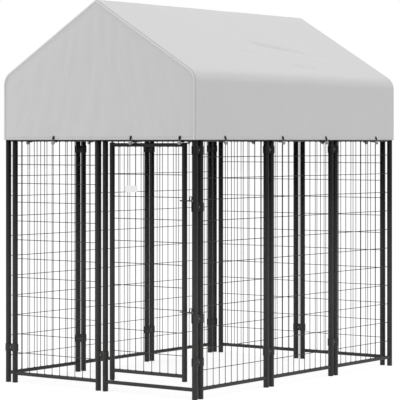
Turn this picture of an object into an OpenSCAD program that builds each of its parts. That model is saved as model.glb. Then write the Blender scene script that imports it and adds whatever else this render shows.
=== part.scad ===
// Outdoor dog kennel run: welded wire panels clamped side by side into a box, a pivoting door with
// two lift latches, and a gable roof frame under a cloth canopy that is tied down with ball ties.
// Millimetres, +Z up, the door end faces -Y, the origin is on the ground in the middle of the run.

/* [Wall panels] */
// Distance between the two post centres of a panel
panel_w = 556; // [440:1:760]
// Distance between the centres of two posts that share a clamp
pair_gap = 46; // [44:0.5:60]
// Height of the posts above the ground
post_h = 1306; // [1200:1:1420]
// Outside diameter of a post
post_d = 28; // [24:0.1:28.2]
// Wall of a post tube
post_wall = 1.5; // [1.2:0.1:2]
// Outside diameter of a panel rail
rail_d = 19; // [15:0.5:21]
// Wall of a panel rail
rail_wall = 1.2; // [1:0.1:2]
// Height of the bottom rails
bottom_rail_z = 48; // [30:1:90]
// Distance from the top of a post down to the top rails
top_rail_drop = 53.5; // [52:0.5:66]
// Gap that stands for a weld between two pieces
weld_gap = 0.05; // [0.02:0.01:0.1]

/* [Wire mesh] */
// Diameter of a mesh wire
wire_d = 3; // [2:0.1:4]
// Spaces across a panel
mesh_cols = 11; // [8:1:14]
// Level wires up a panel
mesh_levels = 11; // [8:1:15]
// Height of the lowest level wire above the bottom rail, in the end walls
end_first = 107; // [60:1:140]
// Distance from the top rail down to the highest level wire, in the end walls
end_last = 127.5; // [60:0.5:140]
// Height of the lowest level wire above the bottom rail, in the long walls
side_first = 90; // [60:1:140]
// Distance from the top rail down to the highest level wire, in the long walls
side_last = 83.5; // [60:0.5:140]

/* [Post plugs] */
// Thickness of a plug's flange under or over a post
plug_flange = 3; // [2:0.5:6]
// Length of a plug inside the post
plug_depth = 18; // [10:1:30]
// Gap between a plug and the bore of its tube
plug_fit = 0.1; // [0.05:0.05:0.3]

/* [Saddle clamps] */
// Thickness of the pressed clamp plates
clamp_t = 2.5; // [2:0.1:2.7]
// Height of a clamp
clamp_h = 38; // [24:1:38]
// Gap between a clamp plate and the posts
clamp_fit = 0.1; // [0.05:0.05:0.3]
// Distance from the wall's middle plane to each clamp half
clamp_split = 3.5; // [3.2:0.1:4]
// Height of the lower clamps above the bottom rails
low_clamp_rise = 132; // [60:1:250]
// Distance from the top rails down to the upper clamps on the two long walls
side_clamp_drop = 50; // [35:1:150]
// Distance from the top of a post down to the upper clamps on the two end walls
end_clamp_drop = 23; // [22:0.5:24]
// Diameter of the clamp bolts
bolt_d = 6; // [4:0.5:8]
// Size of bolt heads and nuts over their corners
bolt_head_d = 11.5; // [10:0.5:14]
// Height of a bolt head
bolt_head_h = 4.5; // [3:0.5:6]
// Height of a nut
nut_h = 5; // [3:0.5:6]
// Bolt thread that stands out of the nut
bolt_tail = 2; // [1:0.5:3]
// Gap around a bolt in its hole
bolt_fit = 0.2; // [0.1:0.05:0.4]

/* [Door] */
// Distance from the door panel's first post to the pivot line
hinge_offset = 44; // [40:1:70]
// Distance from the door's free upright to the corner post
latch_gap = 62; // [50:1:120]
// Outside diameter of the door's uprights
door_tube_d = 26; // [22:0.5:27]
// Wall of the door's uprights
door_tube_wall = 1.5; // [1.2:0.1:2]
// Outside diameter of the door's rails
door_rail_d = 18; // [15:0.5:19]
// Height of the door's bottom rail above the panel's bottom rail
door_sill = 61; // [55:1:110]
// Distance from the panel's top rail down to the door's top rail
door_head = 25.5; // [25:0.5:50]
// Height of the upright ends above the door's top rail
door_upright_over = 9.5; // [9:0.5:10]
// Length of the free upright below the door's bottom rail
door_upright_under = 24; // [12:1:30]
// Spaces across the door
door_cols = 9; // [6:1:12]
// Level wires up the door
door_levels = 9; // [7:1:12]
// Height of the lowest level wire above the door's bottom rail
door_first = 98; // [60:1:140]
// Distance from the door's top rail down to the highest level wire
door_last = 145; // [60:1:160]

/* [Door pivots] */
// Diameter of the two pivot pins
pivot_d = 12; // [8:0.5:14]
// Running gap between a pivot pin and its bush
pivot_fit = 0.05; // [0.03:0.01:0.1]
// Length of a pivot pin inside its bush
pivot_len = 28; // [20:1:40]
// Diameter of the collar that carries the door
pivot_collar_d = 18; // [16:0.5:19]
// Height of the collar above the bottom rail
pivot_collar_h = 3.5; // [2:0.5:8]
// Thickness of a bush's flange
bush_flange = 2; // [1:0.5:3]
// Length of a bush inside the upright
bush_depth = 32; // [20:1:50]
// Running gap under the door
pivot_play = 0.3; // [0.2:0.1:0.6]

/* [Door plate] */
// Width of the blank plate on the door
plate_w = 76; // [40:1:120]
// Height of the plate
plate_h = 32; // [20:1:60]
// Thickness of the plate
plate_t = 1.5; // [1:0.1:3]
// Distance from the pivot line to the plate's middle
plate_x = 123; // [80:1:300]
// Height of the plate's middle
plate_z = 1010; // [600:1:1100]

/* [Latches] */
// Height of the upper latch clamp
upper_latch_z = 927; // [800:1:1050]
// Height of the lower latch clamp
lower_latch_z = 390; // [280:1:600]
// Height of a latch clamp
latch_clamp_h = 42; // [30:1:50]
// Height of the latch pivot above the middle of its clamp
latch_rise = 31; // [28:1:40]
// Distance from the corner post's centre to the latch pivot, towards the door
latch_pivot_in = 0; // [0:0.5:3]
// Width of the stem that carries the ear
latch_stem_w = 6; // [5:0.5:8]
// Diameter of the latch arm and thickness of its eye
latch_rod_d = 6; // [5:0.5:8]
// Radius of the eye on the latch arm and of the ear behind it
latch_eye_r = 9; // [8:0.5:9.5]
// Diameter of the latch rivet
latch_rivet_d = 7; // [5:0.5:8]
// Running gap between the rivet and the arm's eye
latch_fit = 0.06; // [0.03:0.01:0.1]
// Gap between the eye and the pieces on either side of it
latch_side_gap = 0.3; // [0.2:0.05:0.6]
// Diameter of the rivet's head
rivet_head_d = 12; // [10:0.5:15]
// Thickness of the rivet's head
rivet_head_t = 2; // [1:0.5:3]
// Length of the latch arm past the middle of the door's free upright
latch_over = 14; // [8:1:30]
// Distance from the pivot to the lifting loop
loop_x = 10; // [9:0.5:40]
// Half width of the lifting loop, to the middle of its wire
loop_r = 5.5; // [4.5:0.25:9]
// Wire of the lifting loop
loop_wire_d = 3.5; // [2:0.25:4]
// Height of the lifting loop's straight legs above the arm's centre
loop_leg = 16; // [12:0.5:24]

/* [Roof frame] */
// Slope of the roof in degrees
roof_pitch = 30.8; // [20:0.1:40]
// Height from the top of a post to where the legs' line meets the rafters' line
eave_rise = 260; // [215:1:380]
// Bend radius of the eave elbows, at the tube's middle
elbow_r = 60; // [40:1:90]
// Gap between a roof leg and the bore of its post
leg_fit = 0.2; // [0.1:0.05:0.4]
// Length of a roof leg inside its post
leg_insert = 70; // [40:1:120]
// Wall of the roof tubes
roof_wall = 1.2; // [1:0.1:2]
// Gap between a roof tube and its socket
socket_fit = 0.15; // [0.1:0.05:0.3]
// Wall of the elbow and ridge sockets
socket_wall = 2.2; // [1.5:0.1:2.5]
// Length of a socket
socket_l = 45; // [30:1:80]
// Width of the stop ring inside an elbow's bend
elbow_lip = 1.5; // [0.5:0.25:3]
// Distance from the ridge line's crossing to the end of each tube in its socket
ridge_stop = 20; // [18:1:30]
// Gap between a tube's end and the elbow's stop
tube_end_gap = 0.5; // [0.2:0.1:1]

/* [Canopy] */
// Distance from the roof tubes' middle to the inside of the cloth
canopy_off = 17; // [16.9:0.1:20]
// Thickness of the canopy solid
canopy_t = 2; // [1:0.1:3]
// Distance from the middle of the top rails down to the canopy's hem
hem_drop = 1; // [0:0.5:5]

/* [Ball ties] */
// Diameter of the elastic cord
cord_d = 3; // [2:0.1:3.5]
// Gap between the elastic and what it passes
cord_gap = 0.3; // [0.2:0.05:0.5]
// Bend radius of the elastic in front of the eyelet
cord_bend = 4; // [3:0.25:6]
// Diameter of the balls
ball_d = 18; // [14:0.5:22]
// Depth of the cord holes in a ball, as the solid left at its middle
ball_core = 2; // [2:0.5:4]
// Wall of an eyelet
eyelet_wall = 1.2; // [0.8:0.1:2]
// Width of an eyelet's flange beyond its barrel
eyelet_rim = 3; // [2:0.25:4]
// Thickness of an eyelet's flange
eyelet_t = 0.8; // [0.5:0.1:1.2]
// Gap between an eyelet and the cloth
eyelet_fit = 0.2; // [0.1:0.05:0.3]
// Mesh spaces with a tie on the front wall: panel number, space number
front_ties = [[0, 5], [1, 3], [1, 9]];
// Mesh spaces with a tie on each long wall: panel number, space number
side_ties = [[0, 3], [1, 1], [1, 9], [2, 7]];
// Mesh spaces with a tie on the back wall: panel number, space number
back_ties = [[0, 2], [0, 8], [1, 6]];

/* [Hidden] */
$fn = 48;

// Extra length of a cutting body
cut = 1;
// Pitch of the panels along a wall
pitch = panel_w + pair_gap;
// Corner post centres, across the front and along the sides
run_w = 2 * pitch;
run_l = 3 * pitch;
// The back wall stands between two corner posts, so its panels are a little narrower
back_panel_w = (run_w - 3 * pair_gap) / 2;
top_rail_z = post_h - top_rail_drop;
post_bore = post_d - 2 * post_wall;
low_clamp_z = bottom_rail_z + low_clamp_rise;
side_clamp_z = top_rail_z - side_clamp_drop;
end_clamp_z = post_h - end_clamp_drop;
clamp_bore_d = post_d + 2 * clamp_fit;
clamp_face = clamp_split + clamp_t;
bolt_len = 2 * clamp_face + nut_h + bolt_tail;

// The door fills its panel but for a gap at each side, above and below
door_w = panel_w - hinge_offset - latch_gap;
door_low_z = bottom_rail_z + door_sill;
door_high_z = top_rail_z - door_head;
door_bore = door_tube_d - 2 * door_tube_wall;
collar_top = bottom_rail_z + rail_d / 2 + pivot_collar_h;
door_foot_z = collar_top + pivot_play + bush_flange;
door_top_z = door_high_z + door_upright_over;

// Where the latch eye lies in front of the corner post
ear_front = clamp_bore_d / 2 + clamp_t;
eye_back = ear_front + latch_side_gap;
eye_front = eye_back + latch_rod_d;
latch_reach = latch_gap - latch_pivot_in + latch_over;

roof_tube_d = post_bore - 2 * leg_fit;
socket_bore = roof_tube_d + 2 * socket_fit;
socket_d = socket_bore + 2 * socket_wall;
bend_bore = roof_tube_d - 2 * roof_wall;
eave_z = post_h + eave_rise;
elbow_turn = 90 - roof_pitch;
elbow_run = elbow_r * tan(elbow_turn / 2);
leg_top_z = eave_z - elbow_run;
rafter_l = run_w / 2 / cos(roof_pitch);
ridge_z = eave_z + run_w / 2 * tan(roof_pitch);

canopy_out = canopy_off + canopy_t;
hem_z = top_rail_z - hem_drop;
eyelet_bore = cord_d + 2 * cord_gap;
eyelet_d = eyelet_bore + 2 * eyelet_wall;
eyelet_hole = eyelet_d + 2 * eyelet_fit;
// The elastic runs round the rail at this radius, and hangs outside the cloth at this distance
tie_r = rail_d / 2 + cord_gap + cord_d / 2;
tie_out = canopy_out + eyelet_fit + eyelet_t + cord_gap + cord_bend;

// Start of panel i, and middle of clamped pair i, along a wall seen from outside
function panel_x(i, w = panel_w) = pair_gap + i * (w + pair_gap);
function pair_x(i, w = panel_w) = pair_gap / 2 + i * (w + pair_gap);
// Middle of mesh space t[1] in panel t[0]
function tie_x(t, w = panel_w) = panel_x(t[0], w) + (t[1] + 0.5) * w / mesh_cols;

// Each wall is drawn from its left corner as seen from outside: x along it, y into the run
module at_front() { translate([-run_w / 2, -run_l / 2, 0]) children(); }
module at_right() { translate([run_w / 2, -run_l / 2, 0]) rotate([0, 0, 90]) children(); }
module at_back() { translate([run_w / 2, run_l / 2, 0]) rotate([0, 0, 180]) children(); }
module at_left() { translate([-run_w / 2, run_l / 2, 0]) rotate([0, 0, 270]) children(); }
module at_door() { at_front() translate([panel_x(1) + hinge_offset, 0, 0]) children(); }

// Upright tube from z = 0
module tube(d, wall, h) {
    difference() {
        cylinder(d = d, h = h);
        translate([0, 0, -cut]) cylinder(d = d - 2 * wall, h = h + 2 * cut);
    }
}

module post() {
    translate([0, 0, plug_flange]) tube(post_d, post_wall, post_h - plug_flange);
}

// Level tube between two uprights, its ends coped to them
module coped_rail(w, z, d, wall, upright_d) {
    difference() {
        translate([0, 0, z]) rotate([0, 90, 0]) tube(d, wall, w);
        for (x = [0, w])
            translate([x, 0, z - d]) cylinder(d = upright_d + 2 * weld_gap, h = 2 * d);
    }
}

module panel_frame(w) {
    for (x = [0, w]) translate([x, 0, 0]) post();
    for (z = [bottom_rail_z, top_rail_z]) coped_rail(w, z, rail_d, rail_wall, post_d);
}

// Upright wires lie on the outer side, level wires on the inner side
module wire_grid(w, upright_d, low_z, high_z, level_d, cols, levels, first, last) {
    lie = (wire_d + weld_gap) / 2;
    rise = high_z - low_z;
    step = (rise - first - last) / (levels - 1);
    for (c = [1 : cols - 1])
        translate([c * w / cols, -lie, low_z + level_d / 2 + weld_gap])
            cylinder(d = wire_d, h = rise - level_d - 2 * weld_gap);
    for (r = [0 : levels - 1])
        translate([upright_d / 2 + weld_gap, lie, low_z + first + r * step])
            rotate([0, 90, 0]) cylinder(d = wire_d, h = w - upright_d - 2 * weld_gap);
}

module panel_mesh(w, first, last) {
    wire_grid(w, post_d, bottom_rail_z, top_rail_z, rail_d, mesh_cols, mesh_levels, first, last);
}
module end_mesh(w) { panel_mesh(w, end_first, end_last); }
module side_mesh(w) { panel_mesh(w, side_first, side_last); }

module front_panel_frame() { color("dimgray") at_front() translate([panel_x(0), 0, 0]) panel_frame(panel_w); }
module front_panel_mesh() { color("gray") at_front() translate([panel_x(0), 0, 0]) end_mesh(panel_w); }
module door_panel_frame() { color("dimgray") at_front() translate([panel_x(1), 0, 0]) panel_frame(panel_w); }
module right_frame(i) { color("dimgray") at_right() translate([panel_x(i), 0, 0]) panel_frame(panel_w); }
module right_mesh(i) { color("gray") at_right() translate([panel_x(i), 0, 0]) side_mesh(panel_w); }
module left_frame(i) { color("dimgray") at_left() translate([panel_x(i), 0, 0]) panel_frame(panel_w); }
module left_mesh(i) { color("gray") at_left() translate([panel_x(i), 0, 0]) side_mesh(panel_w); }
module back_frame(i) {
    color("dimgray") at_back() translate([panel_x(i, back_panel_w), 0, 0]) panel_frame(back_panel_w);
}
module back_mesh(i) {
    color("gray") at_back() translate([panel_x(i, back_panel_w), 0, 0]) end_mesh(back_panel_w);
}
module corner_post() { color("dimgray") at_left() post(); }

// Places that hold a post: both ends of each panel, and the single corner post
module each_post() {
    at_front() for (i = [0, 1], x = [0, panel_w]) translate([panel_x(i) + x, 0, 0]) children();
    at_right() for (i = [0 : 2], x = [0, panel_w]) translate([panel_x(i) + x, 0, 0]) children();
    at_left() for (i = [0 : 2], x = [0, panel_w]) translate([panel_x(i) + x, 0, 0]) children();
    at_back() for (i = [0, 1], x = [0, back_panel_w])
        translate([panel_x(i, back_panel_w) + x, 0, 0]) children();
    at_left() children();
}

// Posts whose tops stay free of a roof leg
module each_free_post() {
    at_front() for (x = [panel_x(0), panel_x(0) + panel_w, panel_x(1)]) translate([x, 0, 0]) children();
    at_right() for (i = [0 : 2]) translate([panel_x(i), 0, 0]) children();
    at_left() for (i = [0 : 2]) translate([panel_x(i), 0, 0]) children();
    at_back() for (i = [0, 1], x = [0, back_panel_w])
        translate([panel_x(i, back_panel_w) + x, 0, 0]) children();
}

// Flanged plug for a tube end, its flange below z = 0
module plug(d, bore, flange) {
    translate([0, 0, -flange]) cylinder(d = d, h = flange);
    cylinder(d = bore - 2 * plug_fit, h = plug_depth);
}

module foot_plugs() {
    color("black") each_post() translate([0, 0, plug_flange]) plug(post_d, post_bore, plug_flange);
}
module top_plugs() {
    color("black") each_free_post() translate([0, 0, post_h]) mirror([0, 0, 1])
        plug(post_d, post_bore, plug_flange);
}

// Clamped pairs: lower and upper on each pair, but the ends of the back wall hold at the top only
module each_clamp() {
    at_front() for (i = [0, 1], z = [low_clamp_z, end_clamp_z]) translate([pair_x(i), 0, z]) children();
    at_right() for (i = [0 : 2], z = [low_clamp_z, side_clamp_z]) translate([pair_x(i), 0, z]) children();
    at_left() for (i = [0 : 2], z = [low_clamp_z, side_clamp_z]) translate([pair_x(i), 0, z]) children();
    at_back() {
        for (i = [0 : 2]) translate([pair_x(i, back_panel_w), 0, end_clamp_z]) children();
        translate([pair_x(1, back_panel_w), 0, low_clamp_z]) children();
    }
}

// The two latch clamps, on the pair behind the corner post at the door's free side
module at_latch(z) { at_right() translate([pair_x(0), 0, z]) children(); }

// Plan of one pressed half: a saddle round each post and a flat web between them
module saddle_plan() {
    reach = pair_gap + clamp_bore_d;
    difference() {
        union() {
            for (s = [-1, 1]) translate([s * pair_gap / 2, 0]) circle(d = clamp_bore_d + 2 * clamp_t);
            translate([-pair_gap / 2, -clamp_face]) square([pair_gap, clamp_t]);
        }
        for (s = [-1, 1]) translate([s * pair_gap / 2, 0]) circle(d = clamp_bore_d);
        translate([-reach, -clamp_split]) square([2 * reach, reach]);
    }
}

module clamp_half(h) {
    difference() {
        translate([0, 0, -h / 2]) linear_extrude(h) saddle_plan();
        rotate([90, 0, 0]) cylinder(d = bolt_d + 2 * bolt_fit, h = clamp_face + cut);
    }
}

module clamp_outer_halves() { color("dimgray") each_clamp() clamp_half(clamp_h); }
module clamp_inner_halves() { color("dimgray") each_clamp() mirror([0, 1, 0]) clamp_half(clamp_h); }

// Bolt from the outer side, head on the web
module clamp_bolt() {
    translate([0, -clamp_face, 0]) {
        rotate([90, 0, 0]) cylinder(d = bolt_head_d, h = bolt_head_h, $fn = 6);
        rotate([-90, 0, 0]) cylinder(d = bolt_d, h = bolt_len);
    }
}

module clamp_nut() {
    translate([0, clamp_face, 0]) rotate([-90, 0, 0]) difference() {
        cylinder(d = bolt_head_d, h = nut_h, $fn = 6);
        translate([0, 0, -cut]) cylinder(d = bolt_d + 2 * bolt_fit, h = nut_h + 2 * cut);
    }
}

module each_bolt() {
    each_clamp() children();
    for (z = [upper_latch_z, lower_latch_z]) at_latch(z) children();
}
module clamp_bolts() { color("silver") each_bolt() clamp_bolt(); }
module clamp_nuts() { color("silver") each_bolt() clamp_nut(); }

// Door
module door_frame() {
    color("darkslategray") at_door() {
        translate([0, 0, door_foot_z]) tube(door_tube_d, door_tube_wall, door_top_z - door_foot_z);
        translate([door_w, 0, door_low_z - door_upright_under])
            tube(door_tube_d, door_tube_wall, door_top_z - door_low_z + door_upright_under);
        for (z = [door_low_z, door_high_z]) coped_rail(door_w, z, door_rail_d, rail_wall, door_tube_d);
    }
}

module door_mesh() {
    color("gray") at_door()
        wire_grid(door_w, door_tube_d, door_low_z, door_high_z, door_rail_d, door_cols, door_levels,
            door_first, door_last);
}

// Flanged bush that turns on a pivot pin, its flange below z = 0
module bush() {
    difference() {
        union() {
            translate([0, 0, -bush_flange]) cylinder(d = door_tube_d, h = bush_flange);
            cylinder(d = door_bore - 2 * plug_fit, h = bush_depth);
        }
        translate([0, 0, -bush_flange - cut])
            cylinder(d = pivot_d + 2 * pivot_fit, h = bush_depth + bush_flange + 2 * cut);
    }
}

module door_bushes() {
    color("black") at_door() {
        translate([0, 0, door_foot_z]) bush();
        translate([0, 0, door_top_z]) mirror([0, 0, 1]) bush();
    }
}

module door_end_plugs() {
    color("black") at_door() translate([door_w, 0, 0]) {
        translate([0, 0, door_low_z - door_upright_under]) plug(door_tube_d, door_bore, bush_flange);
        translate([0, 0, door_top_z]) mirror([0, 0, 1]) plug(door_tube_d, door_bore, bush_flange);
    }
}

module door_plate() {
    color("white") at_door()
        translate([plate_x - plate_w / 2, -wire_d - weld_gap - plate_t - weld_gap, plate_z - plate_h / 2])
            cube([plate_w, plate_t, plate_h]);
}

// Pin with a collar, welded on the bottom rail
module lower_pivot_pin() {
    color("silver") at_door() difference() {
        union() {
            translate([0, 0, bottom_rail_z]) cylinder(d = pivot_collar_d, h = collar_top - bottom_rail_z);
            translate([0, 0, collar_top]) cylinder(d = pivot_d, h = pivot_play + bush_flange + pivot_len);
        }
        rail_cut(bottom_rail_z);
    }
}

// Pin welded under the top rail
module upper_pivot_pin() {
    color("silver") at_door() difference() {
        translate([0, 0, door_top_z - pivot_len])
            cylinder(d = pivot_d, h = top_rail_z - door_top_z + pivot_len);
        rail_cut(top_rail_z);
    }
}

module rail_cut(z) {
    translate([-pivot_collar_d, 0, z]) rotate([0, 90, 0])
        cylinder(d = rail_d + 2 * weld_gap, h = 2 * pivot_collar_d);
}

// Latches: the inner clamp half has a forward ear that carries the rivet
module latch_ear() {
    translate([-pair_gap / 2 - ear_front, 0, 0]) rotate([90, 0, 90]) linear_extrude(clamp_t) difference() {
        union() {
            translate([clamp_split, -latch_clamp_h / 2])
                square([latch_stem_w, latch_clamp_h / 2 + latch_rise]);
            translate([latch_pivot_in, latch_rise]) circle(r = latch_eye_r);
        }
        translate([latch_pivot_in, latch_rise]) circle(d = latch_rivet_d + 2 * latch_fit);
    }
}

module latch_bracket(z) {
    color("dimgray") at_latch(z) {
        clamp_half(latch_clamp_h);
        union() {
            mirror([0, 1, 0]) clamp_half(latch_clamp_h);
            latch_ear();
        }
    }
}

// Pivot point of a latch, with x along the arm towards the door, y forward and z up
module at_latch_pivot(z) {
    translate([run_w / 2 - latch_pivot_in, -run_l / 2, z + latch_rise]) rotate([0, 0, 180]) children();
}

module latch_rivets() {
    color("silver") for (z = [upper_latch_z, lower_latch_z]) at_latch_pivot(z) rotate([-90, 0, 0]) {
        translate([0, 0, ear_front - clamp_t])
            cylinder(d = latch_rivet_d, h = clamp_t + latch_rod_d + 2 * latch_side_gap);
        translate([0, 0, eye_front + latch_side_gap]) cylinder(d = rivet_head_d, h = rivet_head_t);
    }
}

module latch_arm(z) {
    mid = (eye_back + eye_front) / 2;
    color("dimgray") at_latch_pivot(z) difference() {
        union() {
            translate([0, eye_back, 0]) rotate([-90, 0, 0]) cylinder(r = latch_eye_r, h = latch_rod_d);
            translate([0, mid, 0]) rotate([0, 90, 0]) cylinder(d = latch_rod_d, h = latch_reach);
            translate([loop_x, mid, 0]) lifting_loop();
        }
        rotate([-90, 0, 0]) cylinder(d = latch_rivet_d + 2 * latch_fit, h = eye_front + cut);
    }
}

module lifting_loop() {
    for (s = [-1, 1]) translate([s * loop_r, 0, 0]) cylinder(d = loop_wire_d, h = loop_leg);
    translate([0, 0, loop_leg]) rotate([90, 0, 0]) rotate_extrude(angle = 180)
        translate([loop_r, 0]) circle(d = loop_wire_d);
}

// Roof frame: four arches, one at each corner pair and one at each middle pair
module each_arch() { for (i = [0 : 3]) translate([0, -run_l / 2 + i * pitch, 0]) children(); }
module each_eave() { each_arch() for (s = [0, 1]) mirror([s, 0, 0]) children(); }

// Along a rafter: z = 0 where the leg's line and the rafter's line meet, +Z up the slope
module on_slope() { translate([run_w / 2, 0, eave_z]) rotate([0, roof_pitch - 90, 0]) children(); }

module roof_legs() {
    color("slategray") each_eave() translate([run_w / 2, 0, post_h - leg_insert])
        tube(roof_tube_d, roof_wall, leg_top_z - socket_wall - tube_end_gap - post_h + leg_insert);
}

// Socket whose stop ring starts at z = 0 and carries the bend on its upper side
module elbow_socket() {
    difference() {
        translate([0, 0, -socket_l]) cylinder(d = socket_d, h = socket_l + socket_wall);
        translate([0, 0, -socket_l - cut]) cylinder(d = socket_bore, h = socket_l + cut);
        translate([0, 0, -cut]) cylinder(d = bend_bore - 2 * elbow_lip, h = socket_wall + 2 * cut);
    }
}

module elbow_bend() {
    rotate([90, 0, 0]) rotate_extrude(angle = elbow_turn) translate([elbow_r, 0]) difference() {
        circle(d = roof_tube_d);
        circle(d = bend_bore);
    }
}

module eave_elbows() {
    color("darkslategray") each_eave() {
        translate([run_w / 2, 0, leg_top_z - socket_wall]) elbow_socket();
        translate([run_w / 2 - elbow_r, 0, leg_top_z]) elbow_bend();
        on_slope() translate([0, 0, elbow_run + socket_wall]) mirror([0, 0, 1]) elbow_socket();
    }
}

module rafters() {
    foot = elbow_run + socket_wall + tube_end_gap;
    color("slategray") each_eave() on_slope() translate([0, 0, foot])
        tube(roof_tube_d, roof_wall, rafter_l - foot - ridge_stop);
}

module ridge_arms(d, start, end, sides) {
    for (s = [0, 1]) mirror([s, 0, 0]) on_slope()
        translate([0, 0, rafter_l - end]) cylinder(d = d, h = end - start);
    translate([0, 0, ridge_z]) for (s = sides)
        rotate([-90 * s, 0, 0]) translate([0, 0, start]) cylinder(d = d, h = end - start);
}

module ridge_connectors() {
    color("darkslategray") for (i = [0 : 3]) translate([0, -run_l / 2 + i * pitch, 0]) {
        sides = i == 0 ? [1] : i == 3 ? [-1] : [-1, 1];
        difference() {
            ridge_arms(socket_d, 0, ridge_stop + socket_l, sides);
            ridge_arms(socket_bore, ridge_stop, ridge_stop + socket_l + cut, sides);
        }
    }
}

module ridge_tubes() {
    color("slategray") for (i = [0 : 2])
        translate([0, -run_l / 2 + i * pitch + ridge_stop, ridge_z]) rotate([-90, 0, 0])
            tube(roof_tube_d, roof_wall, pitch - 2 * ridge_stop);
}

// Canopy: the roof tubes' line, set out by a distance, from the hem over the ridge to the other hem
module gable_plan(off, low_z) {
    side = run_w / 2 + off;
    bend = elbow_r + off;
    bend_x = run_w / 2 - elbow_r;
    half = [[side, low_z], [side, leg_top_z],
        [bend_x + bend * sin(roof_pitch), leg_top_z + bend * cos(roof_pitch)],
        [off * sin(roof_pitch), ridge_z + off * cos(roof_pitch)]];
    polygon(concat(half, [for (i = [3 : -1 : 0]) [-half[i][0], half[i][1]]]));
    for (s = [-1, 1]) translate([s * bend_x, leg_top_z]) circle(r = bend);
    translate([0, ridge_z]) circle(r = off);
}

// Level holes for the eyelets, all round the hem
module eyelet_holes() {
    each_tie() translate([0, -canopy_off + cut, top_rail_z + tie_r]) rotate([90, 0, 0])
        cylinder(d = eyelet_hole, h = canopy_t + 2 * cut);
}

module canopy_roof() {
    length = run_l + 2 * canopy_off;
    color("lightgray") difference() {
        translate([0, length / 2, 0]) rotate([90, 0, 0]) linear_extrude(length) difference() {
            gable_plan(canopy_out, hem_z);
            gable_plan(canopy_off, hem_z - cut);
        }
        eyelet_holes();
    }
}

module gable_sheet() {
    translate([0, -run_l / 2 - canopy_off, 0]) rotate([90, 0, 0])
        linear_extrude(canopy_t) gable_plan(canopy_out, hem_z);
}

module canopy_front() {
    color("gainsboro") difference() {
        gable_sheet();
        eyelet_holes();
    }
}

module canopy_back() {
    color("gainsboro") difference() {
        rotate([0, 0, 180]) gable_sheet();
        eyelet_holes();
    }
}

// Ball ties: each sits in the middle of a mesh space, so that no wire is in its way
module each_tie() {
    at_front() for (t = front_ties) translate([tie_x(t), 0, 0]) children();
    at_right() for (t = side_ties) translate([tie_x(t), 0, 0]) children();
    at_left() for (t = side_ties) translate([tie_x(t), 0, 0]) children();
    at_back() for (t = back_ties) translate([tie_x(t, back_panel_w), 0, 0]) children();
}

module eyelet() {
    grip = canopy_t + 2 * eyelet_fit;
    difference() {
        union() {
            cylinder(d = eyelet_d, h = grip);
            for (z = [-eyelet_t, grip]) translate([0, 0, z])
                cylinder(d = eyelet_d + 2 * eyelet_rim, h = eyelet_t);
        }
        translate([0, 0, -eyelet_t - cut]) cylinder(d = eyelet_bore, h = grip + 2 * eyelet_t + 2 * cut);
    }
}

module hem_eyelets() {
    color("black") each_tie() translate([0, -canopy_off + eyelet_fit, top_rail_z + tie_r])
        rotate([90, 0, 0]) eyelet();
}

// Elastic: round the back of the rail, out through the eyelet, down to the ball and back under the rail
module tie_elastic() {
    translate([0, 0, top_rail_z]) {
        rotate([0, -90, 0]) rotate_extrude(angle = 180) translate([tie_r, 0]) circle(d = cord_d);
        translate([0, 0, tie_r]) rotate([90, 0, 0]) cylinder(d = cord_d, h = tie_out - cord_bend);
        translate([0, 0, -tie_r]) rotate([90, 0, 0]) cylinder(d = cord_d, h = tie_out - ball_core);
        translate([0, -tie_out + cord_bend, tie_r - cord_bend]) rotate([0, -90, 0]) rotate([180, 0, 0])
            rotate_extrude(angle = 90) translate([cord_bend, 0]) circle(d = cord_d);
        translate([0, -tie_out, ball_core - tie_r])
            cylinder(d = cord_d, h = 2 * tie_r - cord_bend - ball_core);
    }
}
module tie_elastics() { color("black") each_tie() tie_elastic(); }

module tie_balls() {
    hole = cord_d + 2 * cord_gap;
    color("lightgray") each_tie() translate([0, -tie_out, top_rail_z - tie_r]) difference() {
        sphere(d = ball_d);
        translate([0, 0, ball_core - cord_gap]) cylinder(d = hole, h = ball_d);
        translate([0, ball_core - cord_gap, 0]) rotate([-90, 0, 0]) cylinder(d = hole, h = ball_d);
    }
}

front_panel_frame();
front_panel_mesh();
door_panel_frame();
right_frame(0);  // right_panel_1_frame
right_frame(1);  // right_panel_2_frame
right_frame(2);  // right_panel_3_frame
right_mesh(0);  // right_panel_1_mesh
right_mesh(1);  // right_panel_2_mesh
right_mesh(2);  // right_panel_3_mesh
left_frame(0);  // left_panel_1_frame
left_frame(1);  // left_panel_2_frame
left_frame(2);  // left_panel_3_frame
left_mesh(0);  // left_panel_1_mesh
left_mesh(1);  // left_panel_2_mesh
left_mesh(2);  // left_panel_3_mesh
back_frame(0);  // back_panel_1_frame
back_frame(1);  // back_panel_2_frame
back_mesh(0);  // back_panel_1_mesh
back_mesh(1);  // back_panel_2_mesh
corner_post();
foot_plugs();
top_plugs();
clamp_outer_halves();
clamp_inner_halves();
clamp_bolts();
clamp_nuts();
door_frame();
door_mesh();
door_bushes();
door_end_plugs();
door_plate();
lower_pivot_pin();
upper_pivot_pin();
latch_bracket(upper_latch_z);  // upper_latch_bracket
latch_bracket(lower_latch_z);  // lower_latch_bracket
latch_rivets();
latch_arm(upper_latch_z);  // upper_latch_arm
latch_arm(lower_latch_z);  // lower_latch_arm
roof_legs();
eave_elbows();
rafters();
ridge_connectors();
ridge_tubes();
canopy_roof();
canopy_front();
canopy_back();
hem_eyelets();
tie_elastics();
tie_balls();
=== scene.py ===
# %% [markdown]
# # An outdoor dog kennel run
# Welded wire panels are clamped side by side into a run, one panel holds a door, and a cloth canopy
# is stretched over a tube roof frame and tied down with elastic ball ties. The measured construction
# is loaded first. Each step then dresses one kind of piece on it, where the construction says it is.

# %% The measured construction
import math
import bmesh
import bpy
from mathutils import Matrix, Vector, noise
from mathutils.bvhtree import BVHTree


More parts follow.
